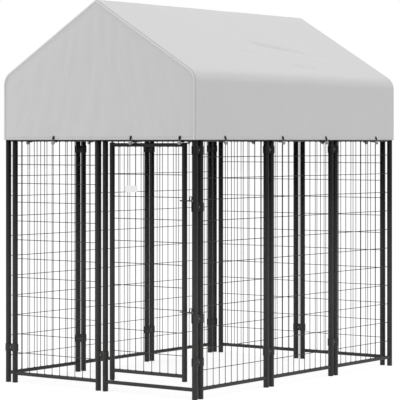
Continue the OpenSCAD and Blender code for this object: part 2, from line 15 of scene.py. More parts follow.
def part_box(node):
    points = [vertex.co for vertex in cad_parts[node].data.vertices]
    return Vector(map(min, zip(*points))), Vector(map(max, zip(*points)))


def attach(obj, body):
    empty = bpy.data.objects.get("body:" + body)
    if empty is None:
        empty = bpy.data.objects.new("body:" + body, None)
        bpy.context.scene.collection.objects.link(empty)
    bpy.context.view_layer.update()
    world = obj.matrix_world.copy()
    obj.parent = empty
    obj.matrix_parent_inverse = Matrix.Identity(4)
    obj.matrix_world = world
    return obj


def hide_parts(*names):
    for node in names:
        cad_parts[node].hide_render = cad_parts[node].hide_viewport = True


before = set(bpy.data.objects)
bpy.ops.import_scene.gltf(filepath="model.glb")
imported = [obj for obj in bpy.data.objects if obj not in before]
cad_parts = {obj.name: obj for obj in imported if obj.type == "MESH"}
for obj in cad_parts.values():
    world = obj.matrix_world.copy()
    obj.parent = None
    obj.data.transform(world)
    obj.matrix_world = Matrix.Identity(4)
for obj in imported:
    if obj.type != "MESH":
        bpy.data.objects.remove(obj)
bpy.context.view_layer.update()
scene = bpy.context.scene

# %% [markdown]
# The camera stands far off one corner with a long lens, at about the height of the canopy's hem.
# It could be tilted to frame the run, but then the posts would lean together. It looks level
# instead, and a vertical shift slides the picture down, as a view camera does.

# %% Camera
CAMERA_PLACE = (6.230, -8.434, 1.242)
CAMERA_TURN = math.radians(36.62)
CAMERA_LENS = 175.9
CAMERA_SHIFT = -0.1454

camera_data = bpy.data.cameras.new("camera")
camera_data.lens = CAMERA_LENS
camera_data.sensor_width = 36
camera_data.shift_y = CAMERA_SHIFT
camera = bpy.data.objects.new("camera", camera_data)
camera.location = CAMERA_PLACE
camera.rotation_euler = (math.pi / 2, 0, CAMERA_TURN)
scene.collection.objects.link(camera)
scene.camera = camera
print("camera lens", CAMERA_LENS, "shift", CAMERA_SHIFT)

# %% [markdown]
# A product picture has no horizon: floor and background are one white. More light would bleach the
# cloth, so the white is given to the camera alone, and to reflections, through the Light Path node.
# The floor stays partly a matt surface, so that it keeps a soft shadow under the rails.

# %% Floor, background and lamps
scene.view_settings.view_transform = "Standard"
AMBIENT = 0.80
FLOOR_GLOW = 0.83
FLOOR_SHADE = 0.27


def node(tree, kind, inputs=None, **options):
    """Adds a node, with its options and the values of its input sockets."""
    made = tree.nodes.new(kind)
    for name, value in options.items():
        setattr(made, name, value)
    for name, value in (inputs or {}).items():
        made.inputs[name].default_value = value
    return made


def seen_directly(tree):
    """A socket that is 1 for rays from the camera, and for those that a gloss or glass sends on."""
    path = node(tree, "ShaderNodeLightPath")
    first = node(tree, "ShaderNodeMath", operation="MAXIMUM")
    second = node(tree, "ShaderNodeMath", operation="MAXIMUM")
    tree.links.new(path.outputs["Is Camera Ray"], first.inputs[0])
    tree.links.new(path.outputs["Is Glossy Ray"], first.inputs[1])
    tree.links.new(first.outputs[0], second.inputs[0])
    tree.links.new(path.outputs["Is Transmission Ray"], second.inputs[1])
    return second.outputs[0]


def mixed(tree, factor, lower, upper):
    """Mix Shader between two shader sockets."""
    mix = node(tree, "ShaderNodeMixShader")
    tree.links.new(factor, mix.inputs[0])
    tree.links.new(lower, mix.inputs[1])
    tree.links.new(upper, mix.inputs[2])
    return mix.outputs[0]


world = bpy.data.worlds.new("studio")
world.use_nodes = True
scene.world = world
sky = world.node_tree
sky.nodes.clear()
shown = node(sky, "ShaderNodeBackground", {"Color": (1, 1, 1, 1), "Strength": 1.0})
lighting = node(sky, "ShaderNodeBackground", {"Color": (1, 1, 1, 1), "Strength": AMBIENT})
sky_out = node(sky, "ShaderNodeOutputWorld")
sky.links.new(mixed(sky, seen_directly(sky), lighting.outputs[0], shown.outputs[0]), sky_out.inputs[0])

floor_finish = bpy.data.materials.new("studio_floor")
floor_finish.use_nodes = True
ground = floor_finish.node_tree
ground.nodes.clear()
matt = node(ground, "ShaderNodeBsdfDiffuse", {"Color": (0.82, 0.82, 0.82, 1)})
glow = node(ground, "ShaderNodeEmission", {"Color": (1, 1, 1, 1), "Strength": FLOOR_GLOW})
shade = node(ground, "ShaderNodeBsdfDiffuse", {"Color": (FLOOR_SHADE, FLOOR_SHADE, FLOOR_SHADE, 1)})
to_eye = node(ground, "ShaderNodeAddShader")
ground.links.new(glow.outputs[0], to_eye.inputs[0])
ground.links.new(shade.outputs[0], to_eye.inputs[1])
floor_out = node(ground, "ShaderNodeOutputMaterial")
floor_shader = mixed(ground, seen_directly(ground), matt.outputs[0], to_eye.outputs[0])
ground.links.new(floor_shader, floor_out.inputs[0])

floor_bm = bmesh.new()
bmesh.ops.create_grid(floor_bm, x_segments=1, y_segments=1, size=60)
floor_mesh = bpy.data.meshes.new("floor")
floor_bm.to_mesh(floor_mesh)
floor_bm.free()
floor_mesh.materials.append(floor_finish)
floor = bpy.data.objects.new("floor", floor_mesh)
scene.collection.objects.link(floor)


def lamp(name, place, aim, size, power):
    """A square soft box at a place, turned towards the point that it aims at."""
    data = bpy.data.lights.new(name, "AREA")
    data.size = size
    data.energy = power
    made = bpy.data.objects.new(name, data)
    made.location = place
    made.rotation_euler = (Vector(aim) - Vector(place)).to_track_quat("-Z", "Y").to_euler()
    scene.collection.objects.link(made)


lamp("top_box", (1.5, 0.4, 6.5), (0, 0, 1.5), 5.0, 95)
lamp("front_box", (-7.0, -5.5, 3.5), (0, 0, 1.2), 2.4, 126)
print("studio ready, ambient", AMBIENT)

# %% [markdown]
# The finishes share a few effects: a fine grain for sprayed and moulded surfaces, a film of dust and
# painted floor light that thins out upwards, and the weave of the cloth. Each effect is a node group,
# made once, and a finish places it with its own values. A flat colour would look like a drawing, while
# a tone, a gloss and a relief that wander a little together read as a real coat.

# %% Shared effects


def new_group(name, inputs, outputs):
    """An empty node group with number sockets, and its input and output nodes."""
    group = bpy.data.node_groups.new(name, "ShaderNodeTree")
    for socket in inputs:
        group.interface.new_socket(socket, in_out="INPUT", socket_type="NodeSocketFloat")
    for socket in outputs:
        group.interface.new_socket(socket, in_out="OUTPUT", socket_type="NodeSocketFloat")
    return group, group.nodes.new("NodeGroupInput"), group.nodes.new("NodeGroupOutput")


def surface_grain():
    """Fine relief at Scale, and a broad mottle over hand-sized patches."""
    group, given, out = new_group("surface_grain", ["Scale"], ["Grain", "Mottle"])
    place = node(group, "ShaderNodeTexCoord")
    fine = node(group, "ShaderNodeTexNoise", {"Detail": 2.0})
    broad = node(group, "ShaderNodeTexNoise", {"Scale": 9.0, "Detail": 3.0})
    group.links.new(given.outputs["Scale"], fine.inputs["Scale"])
    for texture, socket in ((fine, "Grain"), (broad, "Mottle")):
        group.links.new(place.outputs["Object"], texture.inputs["Vector"])
        group.links.new(texture.outputs["Fac"], out.inputs[socket])
    return group


def dust_and_floor_light():
    """Dust and painted floor light: a patchy film up to Full, which thins out to nothing at Reach."""
    group, given, out = new_group("dust_and_floor_light", ["Full", "Reach"], ["Mask"])
    place = node(group, "ShaderNodeTexCoord")
    split = node(group, "ShaderNodeSeparateXYZ")
    fade = node(group, "ShaderNodeMapRange", {"To Min": 1.0, "To Max": 0.0},
                interpolation_type="SMOOTHSTEP")
    patches = node(group, "ShaderNodeTexNoise", {"Scale": 26.0, "Detail": 4.0})
    thickness = node(group, "ShaderNodeMapRange",
                     {"From Min": 0.3, "From Max": 0.7, "To Min": 0.75, "To Max": 1.0})
    both = node(group, "ShaderNodeMath", operation="MULTIPLY")
    group.links.new(place.outputs["Object"], split.inputs[0])
    group.links.new(place.outputs["Object"], patches.inputs["Vector"])
    group.links.new(split.outputs["Z"], fade.inputs["Value"])
    group.links.new(given.outputs["Full"], fade.inputs["From Min"])
    group.links.new(given.outputs["Reach"], fade.inputs["From Max"])
    group.links.new(fade.outputs[0], both.inputs[0])
    group.links.new(patches.outputs["Fac"], thickness.inputs["Value"])
    group.links.new(thickness.outputs[0], both.inputs[1])
    group.links.new(both.outputs[0], out.inputs["Mask"])
    return group


def plain_weave():
    """Over and under of warp and weft on the cloth's own map, and faint streaks along the warp."""
    group, given, out = new_group("plain_weave", ["Pitch"], ["Weave", "Streak"])
    cloth_map = node(group, "ShaderNodeTexCoord")
    split = node(group, "ShaderNodeSeparateXYZ")
    turns = node(group, "ShaderNodeMath", operation="DIVIDE")
    turns.inputs[0].default_value = math.pi
    group.links.new(given.outputs["Pitch"], turns.inputs[1])
    group.links.new(cloth_map.outputs["UV"], split.inputs[0])
    crossing = node(group, "ShaderNodeMath", operation="MULTIPLY")
    for slot, axis in enumerate("XY"):
        angle = node(group, "ShaderNodeMath", operation="MULTIPLY")
        wave = node(group, "ShaderNodeMath", operation="SINE")
        group.links.new(split.outputs[axis], angle.inputs[0])
        group.links.new(turns.outputs[0], angle.inputs[1])
        group.links.new(angle.outputs[0], wave.inputs[0])
        group.links.new(wave.outputs[0], crossing.inputs[slot])
    group.links.new(crossing.outputs[0], out.inputs["Weave"])
    stretch = node(group, "ShaderNodeMapping", {"Scale": (38.0, 4.0, 1.0)})
    streaks = node(group, "ShaderNodeTexNoise", {"Scale": 1.0, "Detail": 3.0})
    group.links.new(cloth_map.outputs["UV"], stretch.inputs["Vector"])
    group.links.new(stretch.outputs[0], streaks.inputs["Vector"])
    group.links.new(streaks.outputs["Fac"], out.inputs["Streak"])
    return group


GRAIN = surface_grain()
DUST_AND_FLOOR_LIGHT = dust_and_floor_light()
WEAVE = plain_weave()
print("effects:", GRAIN.name, DUST_AND_FLOOR_LIGHT.name, WEAVE.name)

# %% [markdown]
# The tubes, wires and clamps carry a satin charcoal powder coat with a faint orange peel. Plugs and
# balls are moulded plastic, bolts and pins are black zinc. All of them are the same recipe with other
# values: two near tones mixed by the mottle, a gloss that follows the mottle, and the grain as relief.

# %% Finishes of the hard pieces
FINISH = {}
# The film is partly dust and partly painted light: the bright floor lights the lower tubes, so they are
# painted lighter towards the ground.
DUST_AND_FLOOR_LIGHT_TONE = (0.048, 0.0474, 0.0463, 1)
DUST_AND_FLOOR_LIGHT_FULL = 0.40
DUST_AND_FLOOR_LIGHT_REACH = 1.20
RELIEF_DEPTH = 0.0003


def placed(tree, group, **values):
    """Puts a shared effect into a material with its own values."""
    made = node(tree, "ShaderNodeGroup")
    made.node_tree = group
    for name, value in values.items():
        made.inputs[name].default_value = value
    return made


def new_finish(slot):
    """A material with its Principled BSDF, kept under the name of the slot that it finishes."""
    material = bpy.data.materials.new(slot)
    material.use_nodes = True
    FINISH[slot] = material
    return material.node_tree, material.node_tree.nodes["Principled BSDF"]


def tones(tree, value, first, second):
    """A colour socket that goes from the first tone to the second with a value."""
    ramp = node(tree, "ShaderNodeValToRGB")
    ramp.color_ramp.elements[0].position = 0.3
    ramp.color_ramp.elements[1].position = 0.7
    ramp.color_ramp.elements[0].color = (*first, 1)
    ramp.color_ramp.elements[1].color = (*second, 1)
    tree.links.new(value, ramp.inputs["Fac"])
    return ramp.outputs["Color"]


def relief(tree, shader, height, strength, depth):
    """A Bump node from a height socket into the shader's normal."""
    bump = node(tree, "ShaderNodeBump", {"Strength": strength, "Distance": depth})
    tree.links.new(height, bump.inputs["Height"])
    tree.links.new(bump.outputs["Normal"], shader.inputs["Normal"])


def coat(slot, first, second, gloss, grain, strength, metallic=0.0, specular=0.5, dusty_and_floor_lit=False):
    """A sprayed, plated or moulded finish: two tones, a range of roughness and a grain."""
    tree, shader = new_finish(slot)
    shader.inputs["Metallic"].default_value = metallic
    shader.inputs["Specular IOR Level"].default_value = specular
    surface = placed(tree, GRAIN, Scale=grain)
    colour = tones(tree, surface.outputs["Mottle"], first, second)
    # Lighter towards the ground: a film of dust and painted floor light.
    if dusty_and_floor_lit:
        dust_and_light_film = placed(tree, DUST_AND_FLOOR_LIGHT, Full=DUST_AND_FLOOR_LIGHT_FULL, Reach=DUST_AND_FLOOR_LIGHT_REACH)
        blend = node(tree, "ShaderNodeMix", data_type="RGBA")
        # The sockets for colours follow those for numbers and vectors, so they are taken by place.
        blend.inputs[7].default_value = DUST_AND_FLOOR_LIGHT_TONE
        tree.links.new(dust_and_light_film.outputs["Mask"], blend.inputs[0])
        tree.links.new(colour, blend.inputs[6])
        colour = blend.outputs[2]
    tree.links.new(colour, shader.inputs["Base Color"])
    rough = node(tree, "ShaderNodeMapRange", {"To Min": gloss[0], "To Max": gloss[1]})
    tree.links.new(surface.outputs["Mottle"], rough.inputs["Value"])
    tree.links.new(rough.outputs[0], shader.inputs["Roughness"])
    relief(tree, shader, surface.outputs["Grain"], strength, RELIEF_DEPTH)


coat("frame_coat", (0.004, 0.004, 0.004), (0.007, 0.007, 0.007), (0.38, 0.50), 700, 0.12,
     specular=0.20, dusty_and_floor_lit=True)
coat("mesh_wire", (0.005, 0.005, 0.005), (0.009, 0.009, 0.009), (0.42, 0.55), 900, 0.10,
     specular=0.20, dusty_and_floor_lit=True)
coat("black_plastic", (0.014, 0.014, 0.014), (0.022, 0.022, 0.022), (0.45, 0.60), 1300, 0.20)
coat("zinc_steel", (0.12, 0.12, 0.12), (0.17, 0.17, 0.17), (0.30, 0.45), 500, 0.06, metallic=0.85)
coat("eyelet_black", (0.005, 0.005, 0.005), (0.009, 0.009, 0.009), (0.40, 0.55), 900, 0.05,
     specular=0.15)
coat("ball_plastic", (0.30, 0.30, 0.295), (0.34, 0.34, 0.335), (0.30, 0.42), 800, 0.08)
coat("plate_white", (0.92, 0.92, 0.915), (0.94, 0.94, 0.935), (0.32, 0.42), 600, 0.05)
coat("elastic_cord", (0.005, 0.005, 0.005), (0.009, 0.009, 0.009), (0.65, 0.80), 1600, 0.60,
     specular=0.15)
print("hard finishes:", ", ".join(FINISH))

# %% [markdown]
# The canopy is a pale grey coated cloth. Its weave is much finer than a pixel of the picture, but it
# gives the cloth its dull sheen from near by. The weave follows the cloth's own map, so that it turns
# with the cloth at the eaves. The piping in its seams is paler, partly as a painted highlight, and the
# strip under it is darker, as painted shade in the creases beside the piping.

# %% Finishes of the canopy
WEAVE_STRENGTH = 0.25


def cloth(slot, first, second, gloss, pitch):
    """A coated woven cloth: weave as relief, streaks as a slight change of tone and gloss."""
    tree, shader = new_finish(slot)
    weave = placed(tree, WEAVE, Pitch=pitch)
    tree.links.new(tones(tree, weave.outputs["Streak"], first, second), shader.inputs["Base Color"])
    rough = node(tree, "ShaderNodeMapRange", {"To Min": gloss[0], "To Max": gloss[1]})
    tree.links.new(weave.outputs["Streak"], rough.inputs["Value"])
    tree.links.new(rough.outputs[0], shader.inputs["Roughness"])
    relief(tree, shader, weave.outputs["Weave"], WEAVE_STRENGTH, RELIEF_DEPTH)


cloth("canopy_cloth", (0.597, 0.597, 0.600), (0.607, 0.607, 0.610), (0.50, 0.62), 0.0016)
# The piping's paler tone is partly its own colour and partly a painted highlight along the rounded seam.
coat("canopy_piping_and_highlight", (0.74, 0.74, 0.73), (0.78, 0.78, 0.77), (0.30, 0.40), 300, 0.05)
# The darker strip under the piping is painted shade, where the cloth creases beside the piping.
coat("canopy_shade_strip", (0.50, 0.50, 0.495), (0.53, 0.53, 0.525), (0.60, 0.70), 600, 0.10)
coat("canopy_thread", (0.55, 0.55, 0.54), (0.66, 0.66, 0.65), (0.60, 0.75), 900, 0.30)
print("cloth finishes ready")

# %% [markdown]
# Nearly every piece is a tube, a pin or a pressed strip that repeats. A shape is modelled once, as an
# outline that is spun about an axis or a strip that is bent, and is then stamped wherever it is needed.
# Linked copies would be lighter, but one mesh for each piece keeps the walls easy to take apart.

# %% Helpers for shapes
ORIGIN = (0, 0, 0)
UP = (0, 0, 1)
ALONG_X = Matrix.Rotation(math.pi / 2, 4, "Y")
AGAINST_X = Matrix.Rotation(-math.pi / 2, 4, "Y")
OUTWARD = Matrix.Rotation(math.pi / 2, 4, "X")
INWARD = Matrix.Rotation(-math.pi / 2, 4, "X")
FLIPPED = Matrix.Rotation(math.pi, 4, "X")


def at(x=0.0, y=0.0, z=0.0):
    """A move along the axes."""
    return Matrix.Translation((x, y, z))


def kept(bm):
    """Closes a bmesh into a small mesh that can be stamped many times, its faces turned outwards."""
    bmesh.ops.remove_doubles(bm, verts=bm.verts, dist=1e-6)
    bmesh.ops.recalc_face_normals(bm, faces=bm.faces)
    mesh = bpy.data.meshes.new("shape")
    bm.to_mesh(mesh)
    bm.free()
    return mesh


def spun(outline, sides, closed=True):
    """An outline of (radius, height) points turned about Z; an open one starts and ends on the axis."""
    bm = bmesh.new()
    corners = [bm.verts.new((radius, 0, height)) for radius, height in outline]
    ends = corners[1:] + corners[:1] if closed else corners[1:]
    sides_of_outline = [bm.edges.new(pair) for pair in zip(corners, ends)]
    bmesh.ops.spin(bm, geom=corners + sides_of_outline, cent=ORIGIN, axis=UP, angle=math.tau,
                   steps=sides, use_merge=True)
    return bm


def tube(length, radius, wall, sides=32, ease=0.0005):
    """A round tube along Z with eased outer ends."""
    outline = [(radius - wall, 0), (radius - ease, 0), (radius, ease), (radius, length - ease),
               (radius - ease, length), (radius - wall, length)]
    return kept(spun(outline, sides))


def stamp(bm, shape, place):
    """Adds a copy of a shape to a bmesh, moved to its place."""
    copy = shape.copy()
    copy.transform(place)
    if place.determinant() < 0:
        copy.flip_normals()
    bm.from_mesh(copy)
    bpy.data.meshes.remove(copy)


def piece(name, bm, slot, nodes, body="kennel", finish=None, sharp=50):
    """Makes an object of a bmesh: smooth but for edges over the angle, dressed and riding on its body."""
    mesh = bpy.data.meshes.new(name)
    bm.to_mesh(mesh)
    bm.free()
    mesh.shade_smooth()
    mesh.set_sharp_from_angle(angle=math.radians(sharp))
    mesh.materials.append(FINISH[finish or slot])
    made = bpy.data.objects.new(name, mesh)
    scene.collection.objects.link(made)
    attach(made, body)
    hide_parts(*nodes)
    print(f"{name}: {len(mesh.polygons)} faces")
    return made


# %% [markdown]
# Each wall gets its own corner, seen from outside: x runs along the wall and y into the run, so one
# panel is modelled once and turned into place. Where a wall stands, and how wide each panel is, comes
# from the boxes of the construction's own nodes.

# %% The four walls
POST_R = 0.014
PAIR_GAP = 0.046
front_low, front_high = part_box("front_panel_frame")
right_low, right_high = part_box("right_panel_1_frame")
HALF_LENGTH = -(front_low.y + front_high.y) / 2
HALF_WIDTH = (right_low.x + right_high.x) / 2
POST_TOP = front_high.z
WALLS = {
    "front": at(-HALF_WIDTH, -HALF_LENGTH),
    "right": at(HALF_WIDTH, -HALF_LENGTH) @ Matrix.Rotation(math.pi / 2, 4, "Z"),
    "back": at(HALF_WIDTH, HALF_LENGTH) @ Matrix.Rotation(math.pi, 4, "Z"),
    "left": at(-HALF_WIDTH, HALF_LENGTH) @ Matrix.Rotation(-math.pi / 2, 4, "Z"),
}
PANELS = {"front_panel": "front", "door_panel": "front"}
for side, count in (("right", 3), ("left", 3), ("back", 2)):
    for number in range(1, count + 1):
        PANELS[f"{side}_panel_{number}"] = side


def panel_span(name):
    """Where a panel's first post stands along its wall, and the width between its two posts."""
    to_wall = WALLS[PANELS[name]].inverted()
    ends = sorted((to_wall @ corner).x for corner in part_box(name + "_frame"))
    return ends[0] + POST_R, ends[1] - ends[0] - 2 * POST_R


SPANS = {name: panel_span(name) for name in PANELS}
PANEL_W = SPANS["front_panel"][1]
BACK_W = SPANS["back_panel_1"][1]
print("run", round(2 * HALF_WIDTH, 4), "by", round(2 * HALF_LENGTH, 4), "panel", round(PANEL_W, 4))

# %% [markdown]
# A panel's frame is two posts and two rails of round steel tube. The rails' ends are coped, cut to the
# round of the post, and a weld bead runs round each joint under the coat. A Boolean could cut the
# cope, but here the end of a plain tube is simply moved by the circle's own formula, which keeps clean
# rings of faces. The bead is a thin ring that is moved by the same formula.

# %% Welded panel frames
POST_WALL = 0.0015
RAIL_R = 0.0095
RAIL_WALL = 0.0012
FOOT_FLANGE = 0.003
BOTTOM_RAIL = 0.048
TOP_RAIL = POST_TOP - 0.0535
BEAD_R = 0.0017
BEAD_RIPPLES = 22
RIPPLE_SHARE = 0.12


def cope(y, upright_r):
    """How far from an upright's middle its surface lies, at a side step y."""
    return math.sqrt(upright_r ** 2 - y ** 2)


def coped_tube(span, radius, upright_r, sides=24):
    """A rail along Z between two uprights whose middles are a span apart."""
    bm = spun([(radius - RAIL_WALL, 0), (radius, 0), (radius, span), (radius - RAIL_WALL, span)], sides)
    for v in bm.verts:
        v.co.z = cope(v.co.y, upright_r) if v.co.z < span / 2 else span - cope(v.co.y, upright_r)
    return kept(bm)


def weld_bead(radius, upright_r, sides=44):
    """A rippled bead round the end of a rail, bent onto its upright."""
    bm = bmesh.new()
    ring = bmesh.ops.create_circle(bm, segments=7, radius=BEAD_R, matrix=at(radius) @ OUTWARD)
    bmesh.ops.spin(bm, geom=ring["verts"] + bm.edges[:], cent=ORIGIN, axis=UP, angle=math.tau,
                   steps=sides, use_merge=True)
    for v in bm.verts:
        around = math.atan2(v.co.y, v.co.x)
        v.co.z += cope(min(abs(v.co.y), radius), upright_r)
        v.co.z += RIPPLE_SHARE * BEAD_R * math.sin(BEAD_RIPPLES * around)
    return kept(bm)


def welded_rail(bm, place, span, radius, upright_r):
    """A coped rail with a bead at each end; place puts the first upright's middle at its origin."""
    bead = weld_bead(radius, upright_r)
    stamp(bm, coped_tube(span, radius, upright_r), place @ ALONG_X)
    stamp(bm, bead, place @ ALONG_X)
    stamp(bm, bead, place @ at(span) @ AGAINST_X)


POST = tube(POST_TOP - FOOT_FLANGE, POST_R, POST_WALL)
for name, (start, width) in SPANS.items():
    bm = bmesh.new()
    wall = WALLS[PANELS[name]]
    for x in (start, start + width):
        stamp(bm, POST, wall @ at(x, 0, FOOT_FLANGE))
    for z in (BOTTOM_RAIL, TOP_RAIL):
        welded_rail(bm, wall @ at(start, 0, z), width, RAIL_R, POST_R)
    piece(name + "_tubes", bm, "frame_coat", [name + "_frame"])

bm = bmesh.new()
stamp(bm, POST, WALLS["left"] @ at(z=FOOT_FLANGE))
piece("single_corner_post", bm, "frame_coat", ["corner_post"])

# %% [markdown]
# The mesh is straight wire, welded where it crosses: upright wires outside, level wires inside. A
# lattice texture would be lighter, but from near by the wires have to be round. Each wire has eight
# sides, each crossing a small nugget, and each end a flared collar of weld, and nothing more, because
# there are over a thousand of them.

# %% Welded wire mesh
WIRE_R = 0.0017
WIRE_LIE = 0.001525
MESH_COLS = 11
MESH_LEVELS = 11
END_MARGINS = (0.107, 0.1275)
SIDE_MARGINS = (0.090, 0.0835)
NUGGET_SHARE = (1.25, 1.05, 1.25)
bm = bmesh.new()
bmesh.ops.create_icosphere(bm, subdivisions=1, radius=1.0)
NUGGET = kept(bm)
bm = bmesh.new()
bmesh.ops.create_cone(bm, cap_ends=False, segments=8, radius1=2.3, radius2=1.0, depth=2.0,
                      matrix=at(z=1.0))
COLLAR = kept(bm)


def wire(bm, place, length):
    """A wire along Z of its place, flared at both ends."""
    bmesh.ops.create_cone(bm, cap_ends=True, segments=8, radius1=WIRE_R, radius2=WIRE_R, depth=length,
                          matrix=place @ at(z=length / 2))
    stamp(bm, COLLAR, place @ Matrix.Scale(WIRE_R, 4))
    stamp(bm, COLLAR, place @ at(z=length) @ FLIPPED @ Matrix.Scale(WIRE_R, 4))


def level_heights(low, high, count, margins):
    """Heights of the level wires, which keep a margin to the lower and to the upper rail."""
    first, last = margins
    step = (high - low - first - last) / (count - 1)
    return [low + first + number * step for number in range(count)]


def wire_mesh(bm, place, width, upright_r, low, high, level_r, cols, levels):
    """Wires between two uprights and two level tubes; place puts the first upright at its origin."""
    columns = [c * width / cols for c in range(1, cols)]
    for x in columns:
        wire(bm, place @ at(x, -WIRE_LIE, low + level_r), high - low - 2 * level_r)
    for z in levels:
        wire(bm, place @ at(upright_r, WIRE_LIE, z) @ ALONG_X, width - 2 * upright_r)
    size = Matrix.Diagonal((*(share * WIRE_R for share in NUGGET_SHARE), 1))
    for x in columns:
        for z in levels:
            stamp(bm, NUGGET, place @ at(x, 0, z) @ size)


for name, (start, width) in SPANS.items():
    if name + "_mesh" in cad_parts:
        bm = bmesh.new()
        margins = END_MARGINS if PANELS[name] in ("front", "back") else SIDE_MARGINS
        wire_mesh(bm, WALLS[PANELS[name]] @ at(start), width, POST_R, BOTTOM_RAIL, TOP_RAIL, RAIL_R,
                  MESH_COLS, level_heights(BOTTOM_RAIL, TOP_RAIL, MESH_LEVELS, margins))
        piece(name + "_wires", bm, "mesh_wire", [name + "_mesh"], sharp=60)

# %% [markdown]
# Every post stands on a plastic plug, and the posts that carry no roof leg are closed by one at the
# top. A plug is turned like the real mould: one outline with a rounded rim and a stub, spun about the
# post's axis.

# %% Foot and top plugs
PLUG_DEPTH = 0.018
PLUG_FIT = 0.0001
RIM = 0.0012


def plug(radius, bore_r, flange):
    """A flanged plug whose outer face lies at z = 0, with its stub upwards."""
    rim = [(radius - RIM * (1 - math.sin(a)), RIM * (1 - math.cos(a)))
           for a in (0, 0.52, 1.05, math.pi / 2)]
    stub, top = bore_r - PLUG_FIT, flange + PLUG_DEPTH
    outline = [(0, 0), *rim, (radius, flange), (stub, flange), (stub, top), (0, top)]
    return kept(spun(outline, 32, closed=False))


POST_PLUG = plug(POST_R, POST_R - POST_WALL, FOOT_FLANGE)
feet, tops = bmesh.new(), bmesh.new()
for name, (start, width) in SPANS.items():
    side = PANELS[name]
    leg_in_last = side in ("right", "left") or name == "door_panel"
    for x, carries_leg in ((start, False), (start + width, leg_in_last)):
        stamp(feet, POST_PLUG, WALLS[side] @ at(x))
        if not carries_leg:
            stamp(tops, POST_PLUG, WALLS[side] @ at(x, 0, POST_TOP + FOOT_FLANGE) @ FLIPPED)
stamp(feet, POST_PLUG, WALLS["left"])
piece("post_feet", feet, "black_plastic", ["foot_plugs"])
piece("post_caps", tops, "black_plastic", ["top_plugs"])

# %% [markdown]
# A saddle clamp is two pressed strips, bent round a pair of posts and drawn together by one bolt. The
# strip is made as it is pressed: a point is spun round one post, drawn out along the flat web, mirrored
# for the other post, pulled up to the clamp's height and given its thickness. Small bevels catch the
# light along the cut edges.

# %% Saddle clamps
CLAMP_T = 0.0025
CLAMP_H = 0.038
CLAMP_FIT = 0.0001
CLAMP_SPLIT = 0.0035
CLAMP_FACE = CLAMP_SPLIT + CLAMP_T
CLAMP_EASE = 0.0006
LOW_CLAMP = 0.180
SIDE_CLAMP = TOP_RAIL - 0.050
END_CLAMP = POST_TOP - 0.023


def eased(bm, width, angle=50, segments=2):
    """Bevels every edge of a closed bmesh that turns by more than an angle."""
    edges = [e for e in bm.edges if e.is_manifold and e.calc_face_angle() > math.radians(angle)]
    bmesh.ops.bevel(bm, geom=edges, offset=width, affect="EDGES", segments=segments, profile=0.5,
                    material=-1)


def saddle(height):
    """One clamp half on the outer side of a pair of posts, its middle at the origin."""
    bm = bmesh.new()
    inner = POST_R + CLAMP_FIT
    lip = math.asin(CLAMP_SPLIT / inner)
    post = Vector((-PAIR_GAP / 2, 0, -height / 2))
    first = bm.verts.new(post + Vector((-inner * math.cos(lip), -CLAMP_SPLIT, 0)))
    bmesh.ops.spin(bm, geom=[first], cent=post, axis=UP, angle=math.pi - 2 * lip, steps=14)
    last = max(bm.verts, key=lambda v: v.co.x)
    middle = bm.verts.new((0, -CLAMP_SPLIT, -height / 2))
    bm.edges.new((last, middle))
    bmesh.ops.mirror(bm, geom=bm.verts[:] + bm.edges[:], axis="X", merge_dist=1e-6)
    raised = bmesh.ops.extrude_edge_only(bm, edges=bm.edges[:])
    bmesh.ops.translate(bm, verts=[g for g in raised["geom"] if isinstance(g, bmesh.types.BMVert)],
                        vec=(0, 0, height))
    bmesh.ops.recalc_face_normals(bm, faces=bm.faces)
    web = min(bm.faces, key=lambda f: abs(f.calc_center_median().x))
    if web.normal.y > 0:
        bmesh.ops.reverse_faces(bm, faces=bm.faces)
    bmesh.ops.solidify(bm, geom=bm.faces[:], thickness=-CLAMP_T)
    eased(bm, CLAMP_EASE)
    return kept(bm)


def pair_x(number, width=PANEL_W):
    """Middle of a clamped pair of posts along its wall."""
    return PAIR_GAP / 2 + number * (width + PAIR_GAP)


def clamp_places():
    """Every saddle clamp: lower and upper on each pair, only upper at the ends of the back wall."""
    for number in range(2):
        for z in (LOW_CLAMP, END_CLAMP):
            yield WALLS["front"] @ at(pair_x(number), 0, z)
    for side in ("right", "left"):
        for number in range(3):
            for z in (LOW_CLAMP, SIDE_CLAMP):
                yield WALLS[side] @ at(pair_x(number), 0, z)
    for number in range(3):
        yield WALLS["back"] @ at(pair_x(number, BACK_W), 0, END_CLAMP)
    yield WALLS["back"] @ at(pair_x(1, BACK_W), 0, LOW_CLAMP)


ACROSS = Matrix.Diagonal((1, -1, 1, 1))
SADDLE = saddle(CLAMP_H)
outer, inner = bmesh.new(), bmesh.new()
for place in clamp_places():
    stamp(outer, SADDLE, place)
    stamp(inner, SADDLE, place @ ACROSS)
piece("clamp_outer_plates", outer, "frame_coat", ["clamp_outer_halves"])
piece("clamp_inner_plates", inner, "frame_coat", ["clamp_inner_halves"])

# %% [markdown]
# One hexagon bolt and nut draws each clamp together, and the two latch clamps have one as well. The
# head is a six-sided prism whose upper rim is bevelled, as the forged chamfer is, on a round shank.

# %% Bolts and nuts
HEAD_R = 0.00575
HEAD_H = 0.0045
HEAD_CHAMFER = 0.0009
NUT_H = 0.005
BOLT_R = 0.003
BOLT_TAIL = 0.002
LATCH_HEIGHTS = {"upper": 0.927, "lower": 0.390}


def hexagon(height):
    """A hexagon prism from z = 0 with a chamfer round its far rim."""
    bm = bmesh.new()
    bmesh.ops.create_cone(bm, cap_ends=True, segments=6, radius1=HEAD_R, radius2=HEAD_R, depth=height,
                          matrix=at(z=height / 2))
    rim = [e for e in bm.edges if all(v.co.z > height / 2 for v in e.verts)]
    bmesh.ops.bevel(bm, geom=rim, offset=HEAD_CHAMFER, affect="EDGES", segments=2, profile=0.5,
                    material=-1)
    return bm


